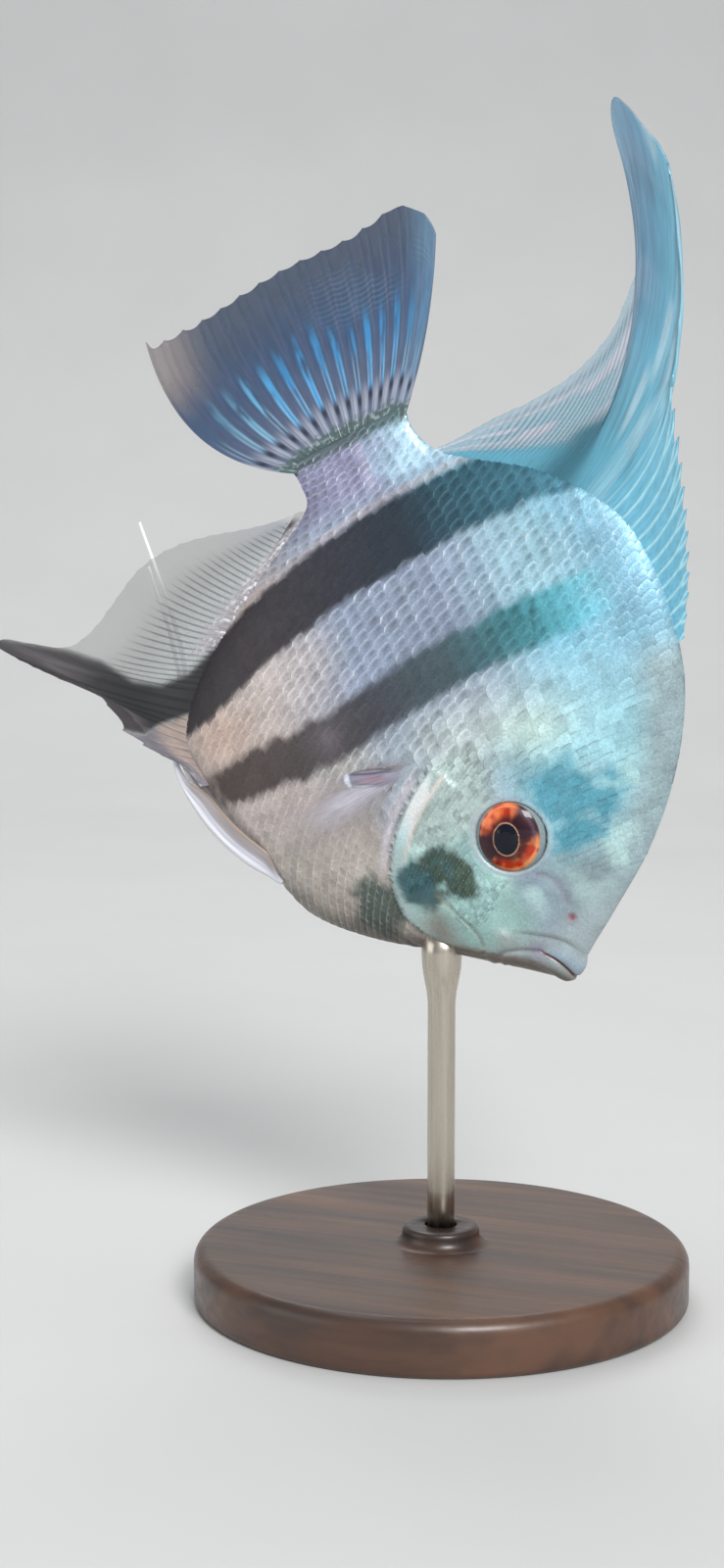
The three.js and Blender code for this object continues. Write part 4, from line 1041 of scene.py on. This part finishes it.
middle, s, f, number = middle_fin(DORSAL, 12, 90)
ridge = ray_ridges(number, f, 0.6)
spiny, soft = ramp(0.4, 0.34, s), ramp(0.48, 0.66, s + 0.06 * f)
streamer = (1 - spiny) * (1 - soft)
streaks, long_streaks = cloud(number * 1.1, f * 3, 0.5, 31), cloud(number * 0.45, f * 2, 0.5, 32)
milky = soft * ramp(-0.3, 0.5, cloud(f * 9, number * 0.16, 1, 33)) * ramp(0.2, 0.4, f) * ramp(1, 0.7, f)
milky = most(milky, bell(s, 0.56 + 0.02 * f, 0.045) * ramp(0.3, 0.55, f))
hair = soft * ridge * ramp(0.02, 0.15, f) * ramp(1.02, 0.8, f) * ramp(0.97, 0.85, s)
dark_root = ramp(0.42, 0.24, f) * bell(s, 0.6, 0.08)
colour = coats(
    rgb(96, 166, 190),
    (rgb(104, 172, 196), spiny),
    (rgb(190, 236, 242), 0.65 * ridge * spiny),
    (rgb(72, 116, 140), 0.7 * ramp(0, 0.6, streaks) * streamer),
    (rgb(168, 208, 222), 0.7 * ramp(0.2, 0.7, long_streaks) * streamer),
    # A painted sheen: a bright strip along the streamer's front edge.
    (rgb(176, 220, 234), 0.6 * bell(s, 0.4, 0.04) * ramp(0.3, 0.6, f)),
    (rgb(66, 112, 146), 0.65 * bell(s, 0.5, 0.045) * ramp(0.25, 0.6, f)),
    (rgb(196, 196, 208), 0.85 * milky),
    (rgb(34, 46, 62), 0.85 * hair),
    (rgb(92, 160, 182), 0.9 * ramp(0.28, 0.12, f) * ramp(0.3, 0.5, s)),
    (rgb(34, 92, 108), 0.85 * dark_root))
solid = 0.94 * spiny + (0.8 - 0.22 * ramp(0.3, 0.7, long_streaks)) * streamer
solid = solid + soft * (0.34 - 0.12 * ramp(0.5, 1, f)) + 0.3 * milky
solid = most(solid, 0.93 * ramp(0.34, 0.14, f), 0.9 * dark_root, ridge * (0.55 - 0.2 * f), 0.8 * hair)
add_fin("fin_dorsal", middle, web_half(ridge, s, f), colour, solid,
        ["dorsal_fin_front", "dorsal_fin_rear"], number, f)

# %% [markdown]
# ### Anal fin
# The rear body bar runs on into its front rays and makes the streamer nearly black. Behind it
# the web is clear and grey, crossed by close dark rays that fade out half way to the edge.

# %% Anal fin
ANAL = dict(
    rays=30, spines=11, root=root_on(BELLY, 34.6, 57, 1.1), trim=0.993,
    edge=[[34.6, -32.6], [38.3, -34.2], [41.4, -37.1], [44.8, -39.5], [48, -40], [51.5, -42],
          [55.3, -46.2], [58, -49.2], [60, -50.6], [59.9, -49], [58.3, -46.5], [55.9, -42.2],
          [56.3, -38.3], [58.2, -34.1], [60.1, -29.8], [60.6, -25.5], [60, -21.1], [58.9, -17],
          [57.9, -12.8], [57.4, -9]],
    spread=[[0, 0], [0.17, 0.2], [0.28, 0.38], [0.34, 0.43], [0.41, 0.54], [0.7, 0.78], [1, 1]],
    meet=[[0, 0], [0.17, 0.14], [0.28, 0.22], [0.34, 0.27], [0.41, 0.36], [0.7, 0.66], [1, 1]],
    bow=[[0, -0.02], [0.17, -0.03], [0.28, -0.03], [0.34, -0.035], [0.41, -0.045], [0.7, -0.04], [1, -0.02]],
    tooth=[[0, 0.08], [0.15, 0.1], [0.22, 0.02], [0.6, 0.01], [1, 0.02]],
    sway=lambda s, f: -0.8 * f * f * np.sin(2 + 5 * s) + 0.3 * f * np.sin(8 * s))
# Where the black part of the fin starts behind its front rays, and where it ends.
BLACK_FRONT = [[60, -53], [50, -44], [44.6, -39.6], [42.8, -37], [43, -34.5], [42.6, -30.9], [42.4, -27.4]]
BLACK_REAR = [[62, -52], [59.3, -48.2], [57.7, -45.6], [55.4, -42], [52.6, -38.5], [48.9, -35.5],
              [47.2, -32.6], [47, -29], [47.9, -26], [49.4, -22.9], [51.5, -19.5]]

middle, s, f, number = middle_fin(ANAL, 12, 80)
x, y = middle[..., 0], middle[..., 1]
ridge = ray_ridges(number, f, 0.6)
front = left_of(BLACK_FRONT, x, y, 0.5)
black = left_of(BLACK_REAR, x, y, 0.7) * (1 - front)
hair = ridge * ramp(0.75, 0.5, f) * ramp(0.99, 0.93, s)
streaks = cloud(number * 0.8, f * 5, 1, 41)
smoky = coats(rgb(8, 9, 13), (rgb(58, 54, 58), ramp(0.3, 0.9, f)),
              (rgb(118, 112, 116), 0.45 * ramp(0.1, 0.6, streaks) * ramp(0.4, 0.8, f)))
fleshy = lay(rgb(164, 148, 140), rgb(116, 112, 120), ramp(0.35, 0.75, f + 0.15 * streaks))
scaly = lay(rgb(160, 156, 160), rgb(226, 226, 232), ramp(0.2, 0.6, cloud(number * 2, f * 60, 1, 43)))
scaly_height = 0.24 + 0.3 * ramp(0.8, 1, s)
scaly_share = ramp(scaly_height, 0.1, f + 0.02 * cloud(number, f * 30, 1, 42)) * ramp(47.6, 49, x)
colour = coats(
    rgb(118, 120, 118),
    (rgb(92, 104, 124), ramp(0.75, 0.95, s)),
    (rgb(184, 192, 192), 0.7 * (1 - ridge) * ramp(0.7, 0.2, f)),
    (rgb(58, 66, 74), 0.9 * hair),
    (smoky, 0.98 * black),
    (fleshy, front),
    (scaly, scaly_share))
solid = most(0.42 - 0.2 * ramp(0.3, 0.9, f) + 0.36 * hair, black * (0.98 - 0.06 * f),
             front * (0.97 - 0.25 * ramp(0.6, 1, f)), 0.95 * ramp(0.16, 0.04, f))
solid = solid * (1 - 0.85 * ramp(0.93, 0.985, s))
add_fin("fin_anal", middle, web_half(ridge, s, f), colour, solid, ["anal_fin"], number, f)

# %% [markdown]
# ### Tail fin
# A fan of branched rays. Between the rays of its inner half the web shines azure, with a dark
# spot at the foot of each ray, and outward it turns smoky and clear, with a ragged edge.

# %% Tail fin
CAUDAL = dict(
    rays=16, spines=16, trim=0.997,
    root=[[61.2, 5.6], [61.5, 3], [61.6, -0.8], [61.5, -5], [61.2, -7.4]],
    edge=[[77.6, 17], [78.7, 17.05], [79.8, 16.8], [80.9, 16.2], [81.8, 15.2], [82.3, 13.8],
          [82.1, 11.4], [81.7, 7.5], [82, 1.2], [81.8, -4.1], [81.3, -9.8], [81.4, -14],
          [81.5, -17.3], [82.3, -18.1]],
    spread=[[0, 0], [1, 1]], meet=[[0, 0], [1, 1]],
    bow=[[0, 0.045], [0.25, 0.045], [0.5, 0], [0.75, -0.09], [1, -0.18]],
    tooth=[[0, 0.004], [0.3, 0.014], [1, 0.014]], sway=lambda s, f: 0.6 * f * f * np.sin(1 + 5 * s))

middle, s, f, number = middle_fin(CAUDAL, 16, 110)
ridge, apart, web = ray_ridges(number, f, 0.35), off_ray(number), np.floor(number)
half = 0.1 + 0.11 * ridge * (1 - 0.6 * f) + 0.2 * ramp(0.2, 0, f)
inner = ramp(0.2, 0.27, f) * ramp(0.68, 0.5, f + 0.05 * ragged(web + 3))
streaks = cloud(number * 5, f * 6, 1, 64) + 0.5 * cloud(number * 11, f * 20, 1, 65)
azure = ramp(0.24, 0.38, apart) * inner * ramp(0.03, 0.14, s) * ramp(0.95, 0.85, s)
azure = np.clip(azure * (0.7 + 0.2 * ragged(web + 9)) * ramp(-0.9, 0.3, streaks), 0, 1)
bands = np.sin(2 * np.pi * (f * 36 + 2 * s)) * ramp(-0.2, 0.6, cloud(f * 7, s * 5, 1, 61))
bands = ramp(0, 0.9, bands) * ramp(0.55, 0.65, f) * ramp(0.95, 0.8, f) * ramp(0.6, 0.3, s)
specks = cloud(s * 60, f * 70, 1, 62)
colour = coats(
    rgb(52, 78, 110),
    (rgb(52, 68, 92), ramp(0.5, 1, f)),
    (rgb(122, 108, 108), 0.85 * ramp(0.8, 0.95, s) * ramp(0.6, 0.85, f)),
    (rgb(96, 142, 174), 0.6 * ramp(0.16, 0.03, s)),
    (rgb(112, 116, 136), 0.5 * ramp(0.6, 0.1, f)),
    (lay(rgb(58, 152, 212), rgb(124, 190, 218), ramp(0.62, 0.9, s)), azure),
    (rgb(176, 214, 238), 0.5 * bell(apart, 0.36, 0.04) * inner * ramp(0.5, 0.3, f)),
    (rgb(74, 80, 110), 0.5 * ridge * ramp(0.14, 0.3, f) * ramp(0.95, 0.6, f)),
    (rgb(160, 166, 182), 0.7 * ramp(0.4, 0.2, apart) * ramp(0.3, 0.18, f)),
    (rgb(112, 142, 172), 0.35 * bands),
    (rgb(16, 26, 48), 0.9 * bell(f, 0.2 + 0.02 * ragged(web), 0.035) * ramp(0.22, 0.4, apart)),
    (lay(rgb(70, 92, 92), rgb(146, 162, 164), ramp(0.2, 0.7, specks)),
     0.95 * ramp(0.14, 0.09, f + 0.02 * specks)))
solid = 0.93 - 0.22 * ramp(0.5, 1, f) - 0.25 * ramp(0.75, 1, s) * ramp(0.4, 0.9, f) + 0.06 * ridge
add_fin("fin_tail", middle, half, colour, solid, ["caudal_fin"], number, f)

# %% [markdown]
# ### Pectoral fins
# These are the clearest fins of all: a fleshy root and a fan of eleven rays that lies back
# along the flank. Little more than the rays and the glint on the web can be seen.

# %% Pectoral fins
PECTORAL_RAYS = 11
PECTORAL_TOP, PECTORAL_BOTTOM = np.array([27.2, -6.1]), np.array([26.1, -9])
PECTORAL_EDGE = [[28.9, -11], [28.8, -16], [27.4, -21], [25.9, -22.6], [23.6, -22.2],
                 [21, -19.8], [20.4, -16.4], [22.4, -12.6]]
LOBE_AT = (27.4, -10.6)


def pectoral(name, node, side):
    """Straight rays from a short root line to a rounded edge, bowed out from the flank, with
    a fleshy lobe over the root. u and v run along and across the lobe."""
    s, f = np.meshgrid(np.linspace(0, 1, 101), np.linspace(0, 1, 50), indexing="ij")
    number = s * (PECTORAL_RAYS - 1)
    edge = line_through(PECTORAL_EDGE, s[:, 0])[:, None]
    root = PECTORAL_TOP + (PECTORAL_BOTTOM - PECTORAL_TOP) * s[..., None]
    flat = root + (edge - root) * f[..., None]
    out = flank(*(PECTORAL_TOP + PECTORAL_BOTTOM) / 2) - 0.6 + 3.2 * f - 1.3 * f * f
    middle = np.concatenate([flat, side * out[..., None]], -1)
    x, y = flat[..., 0] - LOBE_AT[0], flat[..., 1] - LOBE_AT[1]
    u, v = 0.316 * x - 0.949 * y, 0.949 * x + 0.316 * y
    lobe = np.hypot(u / 3.3, v / 0.95)
    fleshy, ridge = ramp(1.1, 0.9, lobe), ray_ridges(number, f, 0.4)
    half = 0.07 + 0.05 * ridge * (1 - 0.6 * f) + 0.22 * ramp(0.3, 0, f) + 0.26 * ramp(1.1, 0.4, lobe)
    # A pale milky stroke across the web: partly the web's own milkiness, which also makes it less clear, and
    # partly a painted highlight.
    brush = bell(s, 0.46, 0.2) * ramp(0.95, 0.4, f)
    # A painted white glint at the lobe's end and along one edge of it.
    white = ramp(1, 0.5, np.hypot((u - 2.7 + 0.3 * v * v) / 0.4, v / 1.2))
    white = most(white, bell(v, -0.75, 0.14) * ramp(-0.5, 1, u) * fleshy)
    colour = coats(
        rgb(158, 148, 146), (rgb(196, 194, 206), most(brush, 0.3 * ridge)),
        (rgb(146, 144, 160), fleshy),
        (rgb(156, 136, 150), 0.9 * ramp(0.9, 0.3, np.hypot(u / 2.4, v / 0.9))),
        (rgb(78, 72, 96), 0.9 * bell(v, 0.66, 0.13) * ramp(3.2, 2, np.abs(u - 0.4)) * fleshy),
        (rgb(226, 232, 246), 0.85 * white))
    clear = 0.1 + 0.22 * ramp(0.66, 0.45, s) * ramp(1, 0.7, f) + 0.3 * brush + 0.06 * ridge
    solid = most(clear + 0.4 * ramp(0.2, 0.05, f), 0.92 * fleshy, 0.8 * white)
    add_fin(name, middle, half, colour, solid, [node], number, f)


for flank_name, side in SIDES:
    pectoral("fin_pectoral_" + flank_name, "pectoral_fin_" + flank_name, side)

# %% [markdown]
# ### Pelvic fins
# Each is a white spine with a narrow web that runs out into a long feeler. The left one trails
# behind the anal fin, and the right one crosses under the keel and lies along the left one.

# %% Pelvic fins
PELVIC_WIDTH = [[0, 0.5], [0.05, 1], [0.12, 1.3], [0.3, 1.25], [0.45, 0.7], [0.6, 0.6], [1, 0.3]]


def pelvic(name, node, path, inward):
    """A ribbon along a smooth path, widest near its root, with a rounded section. It is
    wider toward the belly by inward mm, over the part that lies along the belly."""
    w, share = np.meshgrid(np.linspace(-1, 1, 21), np.linspace(0, 1, 220), indexing="ij")
    line = line_through(path, share[0])
    way = np.gradient(line, axis=0)
    side = np.stack([-way[:, 1], way[:, 0], 0 * way[:, 0]], -1)
    side /= np.linalg.norm(side, axis=-1, keepdims=True)
    wide, near = table(PELVIC_WIDTH, share[0]), ramp(0.5, 0.35, share) * ramp(0, 0.05, share)
    web = inward * (w + 1) / 2 * ramp(0, 0.08, share) * ramp(0.46, 0.28, share)
    reach = w * wide / 2 * (1 - 0.4 * (w < 0) * near) + 0.25 * near + web
    middle = line[None] + side[None] * reach[..., None]
    half = 0.05 + (0.1 + 0.14 * wide / 2) * np.sqrt(np.maximum(1 - w**2, 0))
    half = half + 0.03 * np.cos(3 * np.pi * w) * (wide > 1)
    colour = coats(
        rgb(214, 216, 226), (rgb(172, 174, 192), 0.6 * bell(w, -0.2, 0.25) * near),
        (rgb(232, 232, 236), 0.8 * bell(w, -0.55, 0.3) * near),
        (rgb(146, 138, 138), 0.92 * ramp(0, 0.2, w) * near),
        (rgb(168, 140, 108), 0.7 * bell(w, 0.93, 0.1) * near),
        (rgb(244, 244, 242), ramp(0.5, 0.7, share)))
    solid = 0.97 - 0.15 * ramp(0.5, 1, np.abs(w)) * (share < 0.5)
    add_fin(name, middle, half, colour, solid, [node], w + 1, share)


pelvic("fin_pelvic_left", "pelvic_fin_left",
       [[21.3, -27.8, 0.9], [24.4, -30.7, 1.7], [28.5, -33.2, 2.4], [33, -34.7, 2.8], [37.2, -35.5, 3.1],
        [42.5, -33.9, 3.4], [48, -30.8, 3.4], [54, -29.6, 3.3], [60.5, -29.1, 3.2], [65.3, -28.8, 3.1]], 1.2)
pelvic("fin_pelvic_right", "pelvic_fin_right",
       [[21.3, -27.6, -0.9], [24, -29.8, -1.6], [28, -32.1, -1.8], [32.5, -33.9, -1.2], [36.6, -35, 0.1],
        [41, -34.4, 1.5], [46, -31.5, 2], [52, -30.1, 2], [57, -29.6, 2], [60.1, -29.3, 1.9]], 1.6)

# %% [markdown]
# ## Stand
# A turned wooden base and a thin metal rod hold the fish under its throat. Both are profiles
# carried once round the upright axis. A lathe does the same to the real ones.

# %% Stand
def turned_form(name, profile, material, node, segments=144):
    """Each point of the profile, a radius and a height in mm, carried round the axis."""
    profile = np.asarray(profile, float)
    around = np.arange(segments) * 2 * np.pi / segments
    radius, height = profile[1:-1, :1], profile[1:-1, 1:]
    rings = np.stack([radius * np.cos(around), radius * np.sin(around), height + 0 * around], -1)
    points = np.vstack([rings.reshape(-1, 3), [0, 0, profile[0, 1]], [0, 0, profile[-1, 1]]])
    faces = closed_rings(points, len(rings), segments)
    add_piece(name, points / 1000, faces, material, [node])


def arc(centre, radius, start, end, steps=8):
    """Places on a quarter circle or part of one, from a start to an end angle in degrees."""
    a = np.radians(np.linspace(start, end, steps))
    return np.stack([centre[0] + radius * np.cos(a), centre[1] + radius * np.sin(a)], -1).tolist()


dark_wood = new_material("dark_wood", 0.42, coat=0.3, coat_roughness=0.25)
year_rings = noise(dark_wood, 0.006, detail=6.0, stretch=(0.12, 1, 1))
two_tone(dark_wood, year_rings, rgb(44, 30, 24), rgb(92, 62, 44), 0.35, 0.66)
pores = noise(dark_wood, 0.0012, stretch=(0.05, 1, 1))
plug(dark_wood, "Roughness", to_range(dark_wood, pores, 0.36, 0.52))
bumped(dark_wood, pores, 0.00006)

brushed_metal = new_material("brushed_metal", 0.3, metallic=1.0)
lines = noise(brushed_metal, 0.0004, stretch=(1, 1, 0.02))
two_tone(brushed_metal, lines, rgb(168, 160, 146), rgb(214, 207, 194))
plug(brushed_metal, "Roughness", to_range(brushed_metal, lines, 0.22, 0.36))

BASE_RADIUS, BASE_HEIGHT, FOOT_EDGE, TOP_EDGE = 27, 6, 0.8, 1.6
ROD_RADIUS, ROD_TOP = 1.5, 40.6
turned_form(
    "base", [[0, 0], [20, 0], [BASE_RADIUS - FOOT_EDGE, 0],
             *arc((BASE_RADIUS - FOOT_EDGE, FOOT_EDGE), FOOT_EDGE, -90, 0),
             *arc((BASE_RADIUS - TOP_EDGE, BASE_HEIGHT - TOP_EDGE), TOP_EDGE, 0, 90),
             [24, BASE_HEIGHT], [12, BASE_HEIGHT], [5.4, BASE_HEIGHT],
             *arc((5.4, 7.2), 1.2, 270, 180, 6), *arc((3.6, 7.4), 0.6, 0, 90, 6),
             [1.8, 8], [1.8, 7.8], [1.75, 5], [0, 5]], dark_wood, "stand_base")
turned_form(
    "rod", [[0, 5.3], [ROD_RADIUS, 5.3], [ROD_RADIUS, 12], [ROD_RADIUS, 24], [ROD_RADIUS, 32.6],
            [1.62, 33.8], [1.9, 35.2], [2.1, 36.4], [2.2, 38], [2.2, ROD_TOP], [0, ROD_TOP]],
    brushed_metal, "stand_rod", 96)

# %% [markdown]
# ## Floor, light and camera
# A pale sweep that runs up behind the model has no horizon line. One large soft lamp stands
# above and to the right, where it shines along the back and the nape, a weaker one fills the
# belly side, a third lights the fins from behind so that their clear webs show, and the last
# one keeps the sweep pale.

# %% Floor
AZIMUTH = np.radians(22)
# Metres: the floor's start, its run, the bend's radius and the wall's height. Then the shares
# of the way back at which the bend starts and ends.
FRONT, FLOOR_RUN, BEND, WALL = -1.2, 1.6, 0.5, 2.2
BEND_START, BEND_END = 0.45, 0.8
across, back = np.meshgrid(np.linspace(-2.5, 2.5, 9), np.linspace(0, 1, 60), indexing="ij")
turn = np.clip((back - BEND_START) / (BEND_END - BEND_START), 0, 1) * np.pi / 2
run = FRONT + FLOOR_RUN * np.minimum(back, BEND_START) / BEND_START + BEND * np.sin(turn)
rise = BEND * (1 - np.cos(turn)) + WALL * np.clip(back - BEND_END, 0, 1) / (1 - BEND_END)
sweep = np.stack([across * np.cos(AZIMUTH) - run * np.sin(AZIMUTH),
                  across * np.sin(AZIMUTH) + run * np.cos(AZIMUTH), rise], -1).reshape(-1, 3)
pale_floor = new_material("pale_floor", 0.7)
two_tone(pale_floor, noise(pale_floor, 0.05), rgb(196, 196, 195), rgb(204, 204, 203))
mesh = bpy.data.meshes.new("floor")
mesh.from_pydata(sweep.tolist(), [], grid_faces(9, 60).tolist())
mesh.polygons.foreach_set("use_smooth", np.ones(len(mesh.polygons), bool))
mesh.materials.append(pale_floor)
floor = bpy.data.objects.new("floor", mesh)
bpy.context.scene.collection.objects.link(floor)


# %% Lamps, world and camera
def lamp(name, place, aim, size, power, colour=(1, 1, 1)):
    """A square area lamp at a place, turned to face the aim."""
    light = bpy.data.lights.new(name, "AREA")
    light.size, light.energy, light.color = size, power, colour
    made = bpy.data.objects.new(name, light)
    made.location = place
    made.rotation_euler = (Vector(aim) - Vector(place)).to_track_quat("-Z", "Y").to_euler()
    bpy.context.scene.collection.objects.link(made)


MIDDLE = (-0.009, 0, 0.07)
lamp("key", (0.53, -0.6, 0.64), MIDDLE, 0.36, 9.5)
lamp("fill", (-0.7, -0.6, 0.25), MIDDLE, 0.6, 1.6)
lamp("back_light", (-0.2, 0.35, 0.62), MIDDLE, 0.4, 1.6)
lamp("wall_light", (-0.15, 0.2, 0.9), (-0.3, 0.8, 0.1), 0.5, 1.4)
world = bpy.data.worlds.new("studio")
world.use_nodes = True
world.node_tree.nodes["Background"].inputs["Color"].default_value = (0.92, 0.95, 1, 1)
world.node_tree.nodes["Background"].inputs["Strength"].default_value = 0.4
bpy.context.scene.world = world
bpy.context.scene.view_settings.view_transform = "Standard"

ELEVATION, AWAY = np.radians(6), 0.260575
TARGET = Vector((-0.00931, 0, 0.056))
toward = Vector((np.sin(AZIMUTH) * np.cos(ELEVATION), -np.cos(AZIMUTH) * np.cos(ELEVATION),
                 np.sin(ELEVATION)))
camera = bpy.data.objects.new("camera", bpy.data.cameras.new("camera"))
camera.data.lens, camera.data.sensor_width, camera.data.clip_start = 55, 36, 0.01
camera.location = TARGET + toward * AWAY
camera.rotation_euler = (-toward).to_track_quat("-Z", "Y").to_euler()
bpy.context.scene.collection.objects.link(camera)
bpy.context.scene.camera = camera
